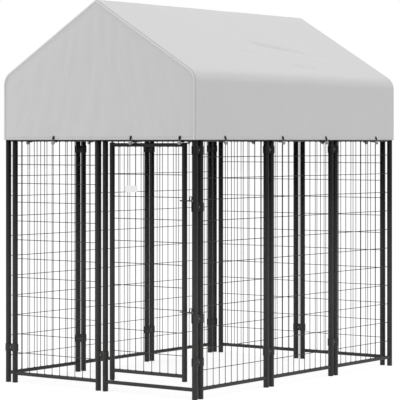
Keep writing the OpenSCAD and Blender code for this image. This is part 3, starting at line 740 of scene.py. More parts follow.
def bolt():
    """A bolt whose head stands on z = 0 and whose shank points down."""
    bm = hexagon(HEAD_H)
    length = 2 * CLAMP_FACE + NUT_H + BOLT_TAIL
    tip = 0.0008
    outline = [(0, 0), (BOLT_R, 0), (BOLT_R, tip - length), (BOLT_R - tip, -length), (0, -length)]
    stamp(bm, kept(spun(outline, 20, closed=False)), Matrix())
    return kept(bm)


BOLT = bolt()
NUT = kept(hexagon(NUT_H))
latch_clamps = [WALLS["right"] @ at(pair_x(0), 0, z) for z in LATCH_HEIGHTS.values()]
bolts, nuts = bmesh.new(), bmesh.new()
for place in [*clamp_places(), *latch_clamps]:
    stamp(bolts, BOLT, place @ at(y=-CLAMP_FACE) @ OUTWARD)
    stamp(nuts, NUT, place @ at(y=CLAMP_FACE) @ INWARD)
piece("clamp_hex_bolts", bolts, "zinc_steel", ["clamp_bolts"], sharp=30)
piece("clamp_hex_nuts", nuts, "zinc_steel", ["clamp_nuts"], sharp=30)

# %% [markdown]
# The door is a smaller panel that turns on two pins, one on the bottom rail and one under the top rail
# of its frame. Its tubes, rails, wires and plugs are made with the same helpers as the walls, so that
# they match. All of it rides on the door's body, and swings with it.

# %% Door frame and door mesh
DOOR_R = 0.013
DOOR_WALL = 0.0015
DOOR_RAIL_R = 0.009
DOOR_SILL = 0.061
DOOR_HEAD = 0.0255
UPRIGHT_OVER = 0.0095
UPRIGHT_UNDER = 0.024
DOOR_COLS = 9
DOOR_LEVELS = 9
DOOR_MARGINS = (0.098, 0.145)
BUSH_FLANGE = 0.002
PIVOT_PLAY = 0.0003
PIVOT_COLLAR_H = 0.0035
COLLAR_TOP = BOTTOM_RAIL + RAIL_R + PIVOT_COLLAR_H
door_low, door_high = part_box("door_frame")
DOOR_WIDTH = door_high.x - door_low.x - 2 * DOOR_R
DOOR_LOW = BOTTOM_RAIL + DOOR_SILL
DOOR_TOP = TOP_RAIL - DOOR_HEAD
UPRIGHT_TOP = DOOR_TOP + UPRIGHT_OVER
HINGE_FOOT = COLLAR_TOP + PIVOT_PLAY + BUSH_FLANGE
FREE_FOOT = DOOR_LOW - UPRIGHT_UNDER
HINGE = at(door_low.x + DOOR_R, -HALF_LENGTH)

bm = bmesh.new()
for x, foot in ((0, HINGE_FOOT), (DOOR_WIDTH, FREE_FOOT)):
    stamp(bm, tube(UPRIGHT_TOP - foot, DOOR_R, DOOR_WALL), HINGE @ at(x, 0, foot))
for z in (DOOR_LOW, DOOR_TOP):
    welded_rail(bm, HINGE @ at(z=z), DOOR_WIDTH, DOOR_RAIL_R, DOOR_R)
piece("door_tubes", bm, "frame_coat", ["door_frame"], body="door")

bm = bmesh.new()
wire_mesh(bm, HINGE, DOOR_WIDTH, DOOR_R, DOOR_LOW, DOOR_TOP, DOOR_RAIL_R, DOOR_COLS,
          level_heights(DOOR_LOW, DOOR_TOP, DOOR_LEVELS, DOOR_MARGINS))
piece("door_wires", bm, "mesh_wire", ["door_mesh"], body="door", sharp=60)

# %% [markdown]
# Bushes and end plugs close the door's uprights; a bush is a plug with a bore for its pin. The pins
# are welded to the frame's rails. The small plate on the door is left blank: a thin moulding with
# round corners and a raised border, so that it still catches the light like one.

# %% Bushes, pins and the blank plate
PIVOT_R = 0.006
PIVOT_FIT = 0.00005
PIVOT_LEN = 0.028
BUSH_DEPTH = 0.032
PIVOT_COLLAR_R = 0.009
COLLAR_EASE = 0.0004
PIN_TIP = 0.001


def bush():
    """A flanged bush with its bore, its outer face at z = 0 and its barrel upwards."""
    bore, barrel = PIVOT_R + PIVOT_FIT, DOOR_R - DOOR_WALL - PLUG_FIT
    ease = 0.0005
    top = BUSH_FLANGE + BUSH_DEPTH
    outline = [(bore, 0), (DOOR_R - ease, 0), (DOOR_R, ease), (DOOR_R, BUSH_FLANGE),
               (barrel, BUSH_FLANGE), (barrel, top), (bore, top)]
    return kept(spun(outline, 32))


def pin(outline):
    """A turned pin: its outline from the axis at the foot to the axis at the tip."""
    return kept(spun(outline, 28, closed=False))


bm = bmesh.new()
stamp(bm, bush(), HINGE @ at(z=HINGE_FOOT - BUSH_FLANGE))
stamp(bm, bush(), HINGE @ at(z=UPRIGHT_TOP + BUSH_FLANGE) @ FLIPPED)
piece("door_pivot_bushes", bm, "black_plastic", ["door_bushes"], body="door")

bm = bmesh.new()
door_plug = plug(DOOR_R, DOOR_R - DOOR_WALL, BUSH_FLANGE)
stamp(bm, door_plug, HINGE @ at(DOOR_WIDTH, 0, FREE_FOOT - BUSH_FLANGE))
stamp(bm, door_plug, HINGE @ at(DOOR_WIDTH, 0, UPRIGHT_TOP + BUSH_FLANGE) @ FLIPPED)
piece("door_upright_plugs", bm, "black_plastic", ["door_end_plugs"], body="door")

# Both pins start inside the round of their rail, where the weld is.
rail_top, pin_top = BOTTOM_RAIL + 0.6 * RAIL_R, HINGE_FOOT + PIVOT_LEN
bm = bmesh.new()
stamp(bm, pin([(0, rail_top), (PIVOT_COLLAR_R, rail_top), (PIVOT_COLLAR_R, COLLAR_TOP - COLLAR_EASE),
               (PIVOT_COLLAR_R - COLLAR_EASE, COLLAR_TOP), (PIVOT_R, COLLAR_TOP),
               (PIVOT_R, pin_top - PIN_TIP), (PIVOT_R - PIN_TIP, pin_top), (0, pin_top)]), HINGE)
piece("lower_pivot", bm, "zinc_steel", ["lower_pivot_pin"], sharp=30)

rail_low, pin_low = TOP_RAIL - 0.75 * RAIL_R, UPRIGHT_TOP - PIVOT_LEN
bm = bmesh.new()
stamp(bm, pin([(0, pin_low), (PIVOT_R - PIN_TIP, pin_low), (PIVOT_R, pin_low + PIN_TIP),
               (PIVOT_R, rail_low), (0, rail_low)]), HINGE)
piece("upper_pivot", bm, "zinc_steel", ["upper_pivot_pin"], sharp=30)

# %% Blank door plate
plate_low, plate_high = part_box("door_plate")
plate_size = plate_high - plate_low
PLATE_CORNER = 0.004
PLATE_BORDER = 0.0022
PLATE_STEP = 0.0005
PLATE_SUNK = 0.0004
PLATE_EASE = 0.0003
plate_place = at(*((plate_low + plate_high) / 2)) @ Matrix.Diagonal((*plate_size, 1))
bm = bmesh.new()
bmesh.ops.create_cube(bm, size=1.0, matrix=plate_place)
corner_edges = [e for e in bm.edges if abs(e.verts[0].co.y - e.verts[1].co.y) > plate_size.y / 2]
bmesh.ops.bevel(bm, geom=corner_edges, offset=PLATE_CORNER, affect="EDGES", segments=6, profile=0.5,
                material=-1)
face = min(bm.faces, key=lambda f: f.calc_center_median().y)
bmesh.ops.inset_region(bm, faces=[face], thickness=PLATE_BORDER)
bmesh.ops.inset_region(bm, faces=[face], thickness=PLATE_STEP, depth=-PLATE_SUNK)
eased(bm, PLATE_EASE, angle=60)
piece("blank_door_plate", bm, "plate_white", ["door_plate"], body="door", sharp=30)

# %% [markdown]
# Each latch is a short arm that turns on a rivet in an ear of its clamp and falls in front of the
# door's free upright. A loop of wire on top lifts it. The arm is an eye, a rod and the loop; they are
# separate closed shapes in one mesh, because the real ones are welded together.

# %% Latch brackets
LATCH_H = 0.042
LATCH_RISE = 0.031
STEM_W = 0.006
EYE_R = 0.009
ROD_R = 0.003
SIDE_GAP = 0.0003
EAR_EASE = 0.0005
EAR_FRONT = POST_R + CLAMP_FIT + CLAMP_T
EYE_BACK = EAR_FRONT + SIDE_GAP
EYE_FRONT = EYE_BACK + 2 * ROD_R


def latch_pivot(height):
    """Where an arm turns: x points along the arm to the door, y forward and z up."""
    return at(HALF_WIDTH, -HALF_LENGTH, height + LATCH_RISE) @ Matrix.Rotation(math.pi, 4, "Z")


def ear():
    """The forward ear, seen from the pivot: a stem on the clamp and a round head for the rivet."""
    bm = bmesh.new()
    foot = -LATCH_RISE - LATCH_H / 2
    near, far = CLAMP_SPLIT, CLAMP_SPLIT + STEM_W
    first_turn, last_turn = 0.15, 2 * math.pi - math.acos(near / EYE_R)
    turns = [first_turn + (last_turn - first_turn) * step / 24 for step in range(25)]
    head = [(EYE_R * math.cos(a), EYE_R * math.sin(a)) for a in turns]
    outline = [(near, foot), (far, foot), (far, 0), *head]
    corners = [bm.verts.new((x, EAR_FRONT - CLAMP_T, z)) for x, z in outline]
    bm.faces.new(corners)
    thick = bmesh.ops.extrude_face_region(bm, geom=bm.faces[:])
    bmesh.ops.translate(bm, verts=[g for g in thick["geom"] if isinstance(g, bmesh.types.BMVert)],
                        vec=(0, CLAMP_T, 0))
    bmesh.ops.recalc_face_normals(bm, faces=bm.faces)
    eased(bm, EAR_EASE, angle=60)
    return kept(bm)


LATCH_SADDLE = saddle(LATCH_H)
for name, height in LATCH_HEIGHTS.items():
    bm = bmesh.new()
    clamp = WALLS["right"] @ at(pair_x(0), 0, height)
    stamp(bm, LATCH_SADDLE, clamp)
    stamp(bm, LATCH_SADDLE, clamp @ ACROSS)
    stamp(bm, ear(), latch_pivot(height))
    piece(f"{name}_latch_plates", bm, "frame_coat", [f"{name}_latch_bracket"])

# %% Latch arms and rivets
RIVET_R = 0.0035
RIVET_FIT = 0.00006
RIVET_HEAD_R = 0.006
RIVET_HEAD_T = 0.002
LATCH_REACH = 0.076
LOOP_X = 0.010
LOOP_R = 0.0055
LOOP_WIRE_R = 0.00175
LOOP_LEG = 0.016


def lifting_loop():
    """A bent wire: a leg up, half a turn, and a leg down again."""
    bm = bmesh.new()
    bmesh.ops.create_circle(bm, cap_ends=True, segments=12, radius=LOOP_WIRE_R, matrix=at(-LOOP_R))
    up = bmesh.ops.extrude_face_region(bm, geom=bm.faces[:])
    moved = [g for g in up["geom"] if isinstance(g, bmesh.types.BMVert)]
    bmesh.ops.translate(bm, verts=moved, vec=(0, 0, LOOP_LEG))
    top = [g for g in up["geom"] if isinstance(g, bmesh.types.BMFace)]
    bent = bmesh.ops.spin(bm, geom=top, cent=(0, 0, LOOP_LEG), axis=(0, 1, 0), angle=math.pi, steps=16)
    end = [g for g in bent["geom_last"] if isinstance(g, bmesh.types.BMFace)]
    down = bmesh.ops.extrude_face_region(bm, geom=end)
    bmesh.ops.translate(bm, verts=[g for g in down["geom"] if isinstance(g, bmesh.types.BMVert)],
                        vec=(0, 0, -LOOP_LEG))
    inner_caps = [*top, *end]
    bmesh.ops.delete(bm, geom=[f for f in inner_caps if f.is_valid], context="FACES_ONLY")
    return kept(bm)


def latch_arm():
    """Eye, rod and loop of an arm, seen from its pivot."""
    bm = bmesh.new()
    ease = 0.0008
    bore = RIVET_R + RIVET_FIT
    rod_foot = bore + 0.002
    eye = kept(spun([(bore, 0), (EYE_R - ease, 0), (EYE_R, ease), (EYE_R, 2 * ROD_R - ease),
                     (EYE_R - ease, 2 * ROD_R), (bore, 2 * ROD_R)], 36))
    stamp(bm, eye, at(y=EYE_FRONT) @ OUTWARD)
    nose = [(ROD_R * math.cos(a), LATCH_REACH - ROD_R + ROD_R * math.sin(a)) for a in (0, 0.4, 0.8, 1.2)]
    rod = kept(spun([(0, rod_foot), (ROD_R, rod_foot), *nose, (0, LATCH_REACH)], 20, closed=False))
    middle = (EYE_BACK + EYE_FRONT) / 2
    stamp(bm, rod, at(y=middle) @ ALONG_X)
    stamp(bm, lifting_loop(), at(LOOP_X, middle))
    return kept(bm)


def rivet():
    """A shank with a domed head in front, along Y of the pivot."""
    shank_low, shank_high = EAR_FRONT - CLAMP_T, EYE_FRONT + SIDE_GAP
    dome = [(math.cos(a), math.sin(a)) for a in (0, 0.35, 0.7, 1.05, 1.3)]
    high = [(RIVET_HEAD_R * c, shank_high + RIVET_HEAD_T * s) for c, s in dome]
    outline = [(0, shank_low), (RIVET_R, shank_low), (RIVET_R, shank_high), *high,
               (0, shank_high + RIVET_HEAD_T)]
    return kept(spun(outline, 28, closed=False))


ARM = latch_arm()
RIVET = rivet()
rivets = bmesh.new()
for name, height in LATCH_HEIGHTS.items():
    bm = bmesh.new()
    stamp(bm, ARM, latch_pivot(height))
    piece(f"{name}_latch_lever", bm, "frame_coat", [f"{name}_latch_arm"], body=f"{name}_latch")
    stamp(rivets, RIVET, latch_pivot(height) @ INWARD)
piece("latch_pivot_rivets", rivets, "zinc_steel", ["latch_rivets"], sharp=30)

# %% [markdown]
# Four arches carry the canopy: legs in the posts, a bent elbow at each eave, rafters, and a connector
# at the ridge, with ridge tubes between the arches. Little of it shows, only from below. A bend is a
# ring of faces that is spun about the bend's centre, which is what a tube bender does too.

# %% Roof frame
PITCH = math.radians(30.8)
ROOF_R = 0.0123
ROOF_WALL = 0.0012
EAVE_Z = POST_TOP + 0.260
ELBOW_R = 0.060
ELBOW_TURN = math.pi / 2 - PITCH
ELBOW_RUN = ELBOW_R * math.tan(ELBOW_TURN / 2)
LEG_TOP = EAVE_Z - ELBOW_RUN
LEG_INSERT = 0.070
SOCKET_L = 0.045
SOCKET_WALL = 0.0022
SOCKET_FIT = 0.00015
SOCKET_R = ROOF_R + SOCKET_FIT + SOCKET_WALL
END_GAP = 0.0005
RIDGE_STOP = 0.020
RAFTER_L = HALF_WIDTH / math.cos(PITCH)
RIDGE_Z = EAVE_Z + HALF_WIDTH * math.tan(PITCH)
BAY = 2 * HALF_LENGTH / 3
ARCHES = [-HALF_LENGTH + number * BAY for number in range(4)]
ON_SLOPE = at(HALF_WIDTH, 0, EAVE_Z) @ Matrix.Rotation(PITCH - math.pi / 2, 4, "Y")
MIRRORED = Matrix.Diagonal((-1, 1, 1, 1))


def elbow():
    """Two sockets and the bend between them, at the right eave."""
    bm = bmesh.new()
    socket = tube(SOCKET_L + SOCKET_WALL, SOCKET_R, SOCKET_WALL)
    stamp(bm, socket, at(HALF_WIDTH, 0, LEG_TOP - SOCKET_WALL - SOCKET_L))
    stamp(bm, socket, ON_SLOPE @ at(z=ELBOW_RUN))
    bend = bmesh.new()
    bmesh.ops.create_circle(bend, segments=24, radius=ROOF_R, matrix=at(HALF_WIDTH, 0, LEG_TOP))
    bmesh.ops.spin(bend, geom=bend.verts[:] + bend.edges[:], cent=(HALF_WIDTH - ELBOW_R, 0, LEG_TOP),
                   axis=(0, -1, 0), angle=ELBOW_TURN, steps=14)
    bmesh.ops.solidify(bend, geom=bend.faces[:], thickness=ROOF_WALL)
    stamp(bm, kept(bend), Matrix())
    return kept(bm)


foot = ELBOW_RUN + SOCKET_WALL + END_GAP
leg_foot = POST_TOP - LEG_INSERT
leg = tube(LEG_TOP - SOCKET_WALL - END_GAP - leg_foot, ROOF_R, ROOF_WALL, 24)
rafter = tube(RAFTER_L - foot - RIDGE_STOP, ROOF_R, ROOF_WALL, 24)
ELBOW = elbow()
legs, elbows, rafters = bmesh.new(), bmesh.new(), bmesh.new()
for y in ARCHES:
    for flip in (Matrix(), MIRRORED):
        arch = flip @ at(y=y)
        stamp(legs, leg, arch @ at(HALF_WIDTH, 0, leg_foot))
        stamp(elbows, ELBOW, arch)
        stamp(rafters, rafter, arch @ ON_SLOPE @ at(z=foot))
piece("roof_leg_tubes", legs, "frame_coat", ["roof_legs"])
piece("eave_bends", elbows, "frame_coat", ["eave_elbows"])
piece("rafter_tubes", rafters, "frame_coat", ["rafters"])

# %% Ridge tubes and connectors
ridge, connectors = bmesh.new(), bmesh.new()
ridge_tube = tube(BAY - 2 * RIDGE_STOP, ROOF_R, ROOF_WALL, 24)
arm = tube(RIDGE_STOP + SOCKET_L, SOCKET_R, SOCKET_WALL)
for number, y in enumerate(ARCHES):
    crown = at(0, y, RIDGE_Z)
    for flip in (Matrix(), MIRRORED):
        stamp(connectors, arm, flip @ at(y=y) @ ON_SLOPE @ at(z=RAFTER_L - RIDGE_STOP - SOCKET_L))
    if number < 3:
        stamp(ridge, ridge_tube, crown @ at(y=RIDGE_STOP) @ INWARD)
        stamp(connectors, arm, crown @ INWARD)
    if number > 0:
        stamp(connectors, arm, crown @ OUTWARD)
piece("ridge_line_tubes", ridge, "frame_coat", ["ridge_tubes"])
piece("ridge_sockets", connectors, "frame_coat", ["ridge_connectors"])

# %% [markdown]
# The canopy is one sewn sheet: roof, two sides and two gables. Its end outline runs from hem to hem
# over the eaves and the ridge. The outline is filled, drawn out along the run and opened below, its
# sewn edges are rounded, and level and upright cuts give it a fine grid of faces to drape with. A
# cloth simulation would do too, but on a cloth as tight as this the slack is better placed one by one.

# %% Canopy sheet
CLOTH_OUT = 0.019
CLOTH_T = 0.0008
SHEET_OUT = CLOTH_OUT - CLOTH_T
HEM_Z = TOP_RAIL - 0.001
HEM_BAND = 0.015
SEWN_R = 0.010
GRID = 0.014
SIDE_X = HALF_WIDTH + SHEET_OUT
END_Y = HALF_LENGTH + SHEET_OUT
EAVE_X = HALF_WIDTH - ELBOW_R
RIDGE_TOP = RIDGE_Z + SHEET_OUT
SLOPE_L = RAFTER_L - ELBOW_RUN


def drawn(bm, vert, vec):
    """Draws a vertex out along a vector, and gives the new end."""
    made = bmesh.ops.extrude_vert_indiv(bm, verts=[vert])["verts"]
    bmesh.ops.translate(bm, verts=made, vec=vec)
    return made[0]


def bent(bm, vert, centre, axis, angle, steps):
    """Spins a vertex about a centre, and gives the new end."""
    made = bmesh.ops.spin(bm, geom=[vert], cent=centre, axis=axis, angle=angle, steps=steps)
    return [g for g in made["geom_last"] if isinstance(g, bmesh.types.BMVert)][0]


def gable_outline(bm):
    """Half the outline from the ridge to the hem, then its mirror image."""
    back = (0, 1, 0)
    end = bm.verts.new((0, -END_Y, RIDGE_TOP))
    end = bent(bm, end, (0, -END_Y, RIDGE_Z), back, PITCH, 8)
    end = drawn(bm, end, (SLOPE_L * math.cos(PITCH), 0, -SLOPE_L * math.sin(PITCH)))
    end = bent(bm, end, (EAVE_X, -END_Y, LEG_TOP), back, ELBOW_TURN, 10)
    drawn(bm, end, (0, 0, HEM_Z - LEG_TOP))
    bmesh.ops.mirror(bm, geom=bm.verts[:] + bm.edges[:], axis="X", merge_dist=1e-6)


def cut(bm, point, normal):
    """A straight cut through all faces, which stay joined."""
    everything = bm.verts[:] + bm.edges[:] + bm.faces[:]
    bmesh.ops.bisect_plane(bm, geom=everything, plane_co=point, plane_no=normal, dist=1e-5)


def sewn_sheet():
    """The canopy before it is draped: outline, length, rounded seams and a grid of cuts."""
    bm = bmesh.new()
    gable_outline(bm)
    hems = [v for v in bm.verts if abs(v.co.z - HEM_Z) < 1e-6]
    bm.edges.new(hems)
    bmesh.ops.edgenet_fill(bm, edges=bm.edges[:])
    length = bmesh.ops.extrude_face_region(bm, geom=bm.faces[:], use_keep_orig=True)
    bmesh.ops.translate(bm, verts=[g for g in length["geom"] if isinstance(g, bmesh.types.BMVert)],
                        vec=(0, 2 * END_Y, 0))
    bmesh.ops.recalc_face_normals(bm, faces=bm.faces)
    bmesh.ops.delete(bm, geom=[f for f in bm.faces if f.normal.z < -0.9], context="FACES")
    seams = [e for e in bm.edges if len(e.link_faces) == 2
             and abs(e.verts[0].co.y - e.verts[1].co.y) < END_Y]
    bmesh.ops.bevel(bm, geom=seams, offset=SEWN_R, affect="EDGES", segments=6, profile=0.5, material=-1)
    for axis, low, high in ((0, -SIDE_X, SIDE_X), (1, -END_Y, END_Y), (2, HEM_Z + HEM_BAND, RIDGE_TOP)):
        normal = [1.0 if i == axis else 0.0 for i in range(3)]
        count = round((high - low) / GRID)
        for number in range(0 if axis == 2 else 1, count):
            point = [0.0, 0.0, 0.0]
            point[axis] = low + number * (high - low) / count
            cut(bm, point, normal)
    bm.normal_update()
    return bm


canopy_bm = sewn_sheet()
print("canopy grid:", len(canopy_bm.faces), "faces")

# %% [markdown]
# The tight cloth still has some life: it sags a little between the arches, bellies out between the
# ties at the hem, and has a few slanting creases on its slopes, where it is pulled askew, and faint
# folds on its gables and sides. Each of these is a small movement along the cloth's normal, and fades
# out towards the sewn edges. Beside a crease the grid is first cut closer.

# %% Ties and slack
TIES = {
    "front": [("front_panel", 5), ("door_panel", 3), ("door_panel", 9)],
    "right": [("right_panel_1", 3), ("right_panel_2", 1), ("right_panel_2", 9), ("right_panel_3", 7)],
    "left": [("left_panel_1", 3), ("left_panel_2", 1), ("left_panel_2", 9), ("left_panel_3", 7)],
    "back": [("back_panel_1", 2), ("back_panel_1", 8), ("back_panel_2", 6)],
}


def tie_x(panel, space):
    """Middle of a mesh space along its wall."""
    start, width = SPANS[panel]
    return start + (space + 0.5) * width / MESH_COLS


EYELET_UP = 0.0113
TIE_PLACES = [WALLS[side] @ at(tie_x(*tie)) for side, ties in TIES.items() for tie in ties]
TIE_POINTS = [place @ Vector((0, -CLOTH_OUT, TOP_RAIL + EYELET_UP)) for place in TIE_PLACES]
SAG = 0.006
BELLY = 0.0045
RIDGE_LIFT = 0.009
GABLE_OUT = 0.0025
BROAD_FOLD = 0.0024
FINE_FOLD = 0.0018
FAN_ABOVE = 0.70
SIDE_FOLD = 0.0015
CREASE_CUTS = (-1.8, -1.2, -0.8, -0.4, 0, 0.4, 0.8, 1.2, 1.8)
CREASES = [
    (Vector((0.294, -0.030, 1.771)), Vector((0.450, 0.620, 1.678)), 0.020, 0.0120),
    (Vector((0.517, 0.061, 1.638)), Vector((0.562, 0.418, 1.612)), 0.022, 0.0060),
    (Vector((0.404, -0.244, 1.705)), Vector((0.422, -0.105, 1.694)), 0.024, 0.0050),
    (Vector((-0.30, 0.55, 1.766)), Vector((-0.50, -0.25, 1.648)), 0.026, 0.0070),
    (Vector((-0.45, 0.10, 1.678)), Vector((-0.56, -0.60, 1.612)), 0.024, 0.0050),
]


def cut_along(bm, start, end, width):
    """Closer cuts beside a crease, so that its bottom is narrow."""
    line = (end - start).normalized()
    across = Vector((math.copysign(math.sin(PITCH), start.x), 0, math.cos(PITCH))).cross(line)
    for offset in CREASE_CUTS:
        near = [f for f in bm.faces if f.normal.z > 0.5 and f.normal.x * start.x > 0
                and abs((f.calc_center_median() - start).dot(across)) < 2.5 * width + GRID
                and 0 < (f.calc_center_median() - start).dot(line) < (end - start).length]
        edges = dict.fromkeys(e for f in near for e in f.edges)
        verts = dict.fromkeys(v for f in near for v in f.verts)
        bmesh.ops.bisect_plane(bm, geom=[*near, *edges, *verts], plane_co=start + across * offset * width,
                               plane_no=across, dist=1e-4)


for crease_start, crease_end, crease_width, _ in CREASES:
    cut_along(canopy_bm, crease_start, crease_end, crease_width)
canopy_bm.normal_update()


def smooth(value):
    """Eases a share in from 0 and out to 1."""
    value = min(max(value, 0.0), 1.0)
    return value * value * (3 - 2 * value)


def crease(co, start, end, width, depth):
    """A shallow furrow along a line that runs out at both ends."""
    line = end - start
    share = (co - start).dot(line) / line.length_squared
    if not 0 < share < 1:
        return 0.0
    side = (co - start - share * line).length / width
    return -depth * math.sin(math.pi * math.sqrt(share)) ** 1.4 * math.exp(-side * side)


def gable_slack(co):
    """Out a little in the middle of a gable, with faint folds that fan out below the ridge."""
    under = math.sin(PITCH) * (HALF_WIDTH - abs(co.x)) + math.cos(PITCH) * (EAVE_Z - co.z) + SHEET_OUT
    inside = smooth((SIDE_X - abs(co.x)) / 0.10) * smooth(under / 0.10)
    fan = co.x / (RIDGE_TOP + FAN_ABOVE - co.z)
    broad = BROAD_FOLD * noise.noise(Vector((fan * 20, 3.1, co.z * 5)))
    fine = FINE_FOLD * noise.noise(Vector((fan * 52, 8.4, co.z * 11)))
    return inside * (GABLE_OUT + broad + fine)


def slope_slack(co):
    """Sagging between the arches, and creased."""
    down = min(abs(co.x) / HALF_WIDTH, 1.0)
    between = math.sin(math.pi * (co.y + HALF_LENGTH) / BAY) ** 2
    return sum(crease(co, *line) for line in CREASES) - SAG * between * 4 * down * (1 - down)


def side_slack(co):
    """Faint upright folds."""
    return SIDE_FOLD * noise.noise(Vector((7.7, co.y * 9, co.z * 1.3)))


def tie_distance(co):
    """How far the nearest tie is."""
    return min((point - co).length for point in TIE_POINTS)


def hem_belly(co):
    """The hem stands out between the ties, less and less further up."""
    height = math.exp(-((co.z - HEM_Z) / 0.10) ** 2)
    corner = min(smooth((END_Y - abs(co.y)) / 0.08) + smooth((SIDE_X - abs(co.x)) / 0.08), 1.0)
    return BELLY * height * corner * smooth((tie_distance(co) - 0.03) / 0.16)


def slack(co, normal):
    """How far the cloth stands off its tight shape at a point."""
    on_gable = smooth((abs(normal.y) - 0.2) / 0.6)
    on_slope = smooth((normal.z - 0.05) / 0.7)
    off_seam = smooth((END_Y - abs(co.y)) / 0.12)
    main = off_seam * (on_slope * slope_slack(co) + (1 - on_slope) * side_slack(co))
    ripple = 0.0010 * noise.noise(co * 3.0) + 0.0004 * noise.noise(co * 9.0)
    free = smooth((tie_distance(co) - 0.015) / 0.05)
    return free * (on_gable * gable_slack(co) + (1 - on_gable) * main + off_seam * ripple) + hem_belly(co)


def lifted(co):
    """The ridge stands a little proud of its tubes, and the slopes with it."""
    return RIDGE_LIFT * max(0.0, (co.z - EAVE_Z) / (RIDGE_TOP - EAVE_Z))


moves = [(v, v.normal * slack(v.co, v.normal) + Vector((0, 0, lifted(v.co)))) for v in canopy_bm.verts]
for v, move in moves:
    v.co += move
canopy_bm.normal_update()
print("largest slack", round(max(move.length for _, move in moves) * 1000, 2), "mm")

# %% [markdown]
# The cloth's own map follows the cut: along the run and over the roof on the main sheet, across and up
# on the gables. A hem is the same cloth folded over and sewn down, so its band is a copy of the lowest
# faces, lifted by one thickness. Both get their thickness from a Solidify modifier.

# %% Cloth map, hem band and thickness
def cloth_map(bm):
    """Metres along and over the cloth as its UV map."""
    layer = bm.loops.layers.uv.new("cloth")
    for face in bm.faces:
        gable = abs(face.normal.y) > 0.7
        for loop in face.loops:
            co = loop.vert.co
            over = min(co.z, LEG_TOP) + max(0.0, SIDE_X - abs(co.x)) / math.cos(PITCH)
            loop[layer].uv = (co.x, co.z) if gable else (co.y, over)


def thickened(made, thickness):
    """A live Solidify that grows inwards from the outer face."""
    shell = made.modifiers.new("thickness", "SOLIDIFY")
    shell.thickness = thickness
    shell.offset = -1


cloth_map(canopy_bm)
surface = BVHTree.FromBMesh(canopy_bm)
hem_bm = canopy_bm.copy()
bmesh.ops.delete(hem_bm, geom=[f for f in hem_bm.faces if f.calc_center_median().z > HEM_Z + HEM_BAND],
                 context="FACES")
for v in hem_bm.verts:
    v.co += v.normal * CLOTH_T
canopy_area = sum(face.calc_area() for face in canopy_bm.faces)
canopy = piece("canopy", canopy_bm, "canopy_cloth", ["canopy_roof", "canopy_front", "canopy_back"],
               sharp=80)
thickened(canopy, CLOTH_T)
hem = piece("canopy_hem", hem_bm, "canopy_cloth", [], sharp=80)
thickened(hem, CLOTH_T)
print("canopy area", round(canopy_area, 3), "square metres")

# %% [markdown]
# Where gable and roof are sewn together, a flat strip covers the seam and a thin piping on it shows as
# a pale line round the gable's edge. The piping's pale tone is partly a painted highlight along the
# rounded seam, and the strip's darker tone is painted shade in the creases beside the piping. Two rows
# of stitches run inside it, and one row along the hem. Strip and piping are rings of faces that follow
# the outline by drawing out and spinning. Each stitch is a tiny drawn-out bead, and a ray finds the
# cloth under it.

# %% Seam piping
SEAM_IN = 0.009
PIPING_R = 0.0032
SHADE_STRIP_HALF = 0.0062
SHADE_STRIP_T = 0.0004


def carry(bm, axis, run):
    """Carries a ring of edges along straights, and along bends about an axis, and closes its ends."""
    ring = bm.edges[:]
    for kind, *values in run:
        if kind == "draw":
            made = bmesh.ops.extrude_edge_only(bm, edges=ring)["geom"]
            moved = [g for g in made if isinstance(g, bmesh.types.BMVert)]
            bmesh.ops.translate(bm, verts=moved, vec=values[0])
            ring = [g for g in made if isinstance(g, bmesh.types.BMEdge)
                    and all(v in moved for v in g.verts)]
        else:
            centre, angle, steps = values
            made = bmesh.ops.spin(bm, geom=ring, cent=centre, axis=axis, angle=angle, steps=steps)
            ring = [g for g in made["geom_last"] if isinstance(g, bmesh.types.BMEdge)]
    bmesh.ops.holes_fill(bm, edges=bm.edges)


def follow_outline(bm):
    """Carries a ring from the right hem over the ridge to the left hem."""
    rise = LEG_TOP - HEM_Z
    slope = Vector((math.cos(PITCH), 0, math.sin(PITCH))) * SLOPE_L
    carry(bm, (0, -1, 0), [
        ("draw", (0, 0, rise)),
        ("bend", (EAVE_X, 0, LEG_TOP), ELBOW_TURN, 10),
        ("draw", (-slope.x, 0, slope.z)),
        ("bend", (0, 0, RIDGE_Z), 2 * PITCH, 8),
        ("draw", (-slope.x, 0, -slope.z)),
        ("bend", (-EAVE_X, 0, LEG_TOP), ELBOW_TURN, 10),
        ("draw", (0, 0, -rise))])


for name, sign in (("front", -1), ("back", 1)):
    # The darker strip paints the shade beside the piping; the piping's paler tone is partly a painted
    # highlight.
    for kind, half, thick in (("piping_and_highlight", PIPING_R, PIPING_R), ("shade_strip", SHADE_STRIP_HALF, SHADE_STRIP_T)):
        bm = bmesh.new()
        section = at(SIDE_X - SEAM_IN, sign * END_Y, HEM_Z) @ Matrix.Diagonal((half, thick, 1, 1))
        bmesh.ops.create_circle(bm, segments=10, radius=1.0, matrix=section)
        follow_outline(bm)
        bmesh.ops.recalc_face_normals(bm, faces=bm.faces)
        for v in bm.verts:
            v.co.z += lifted(v.co)
        piece(f"{name}_gable_{kind}", bm, "canopy_cloth", [], finish=f"canopy_{kind}")

# %% Stitching
STITCH_PITCH = 0.007
STITCH_SIZE = Matrix.Diagonal((0.0025, 0.0005, 0.0005, 1))
STITCH_LIFT = 0.0002
RAY_START = 0.1
SEAM_ROWS = (0.019, 0.024)
HEM_ROW = 0.012
SIDE_NEAR = 0.004


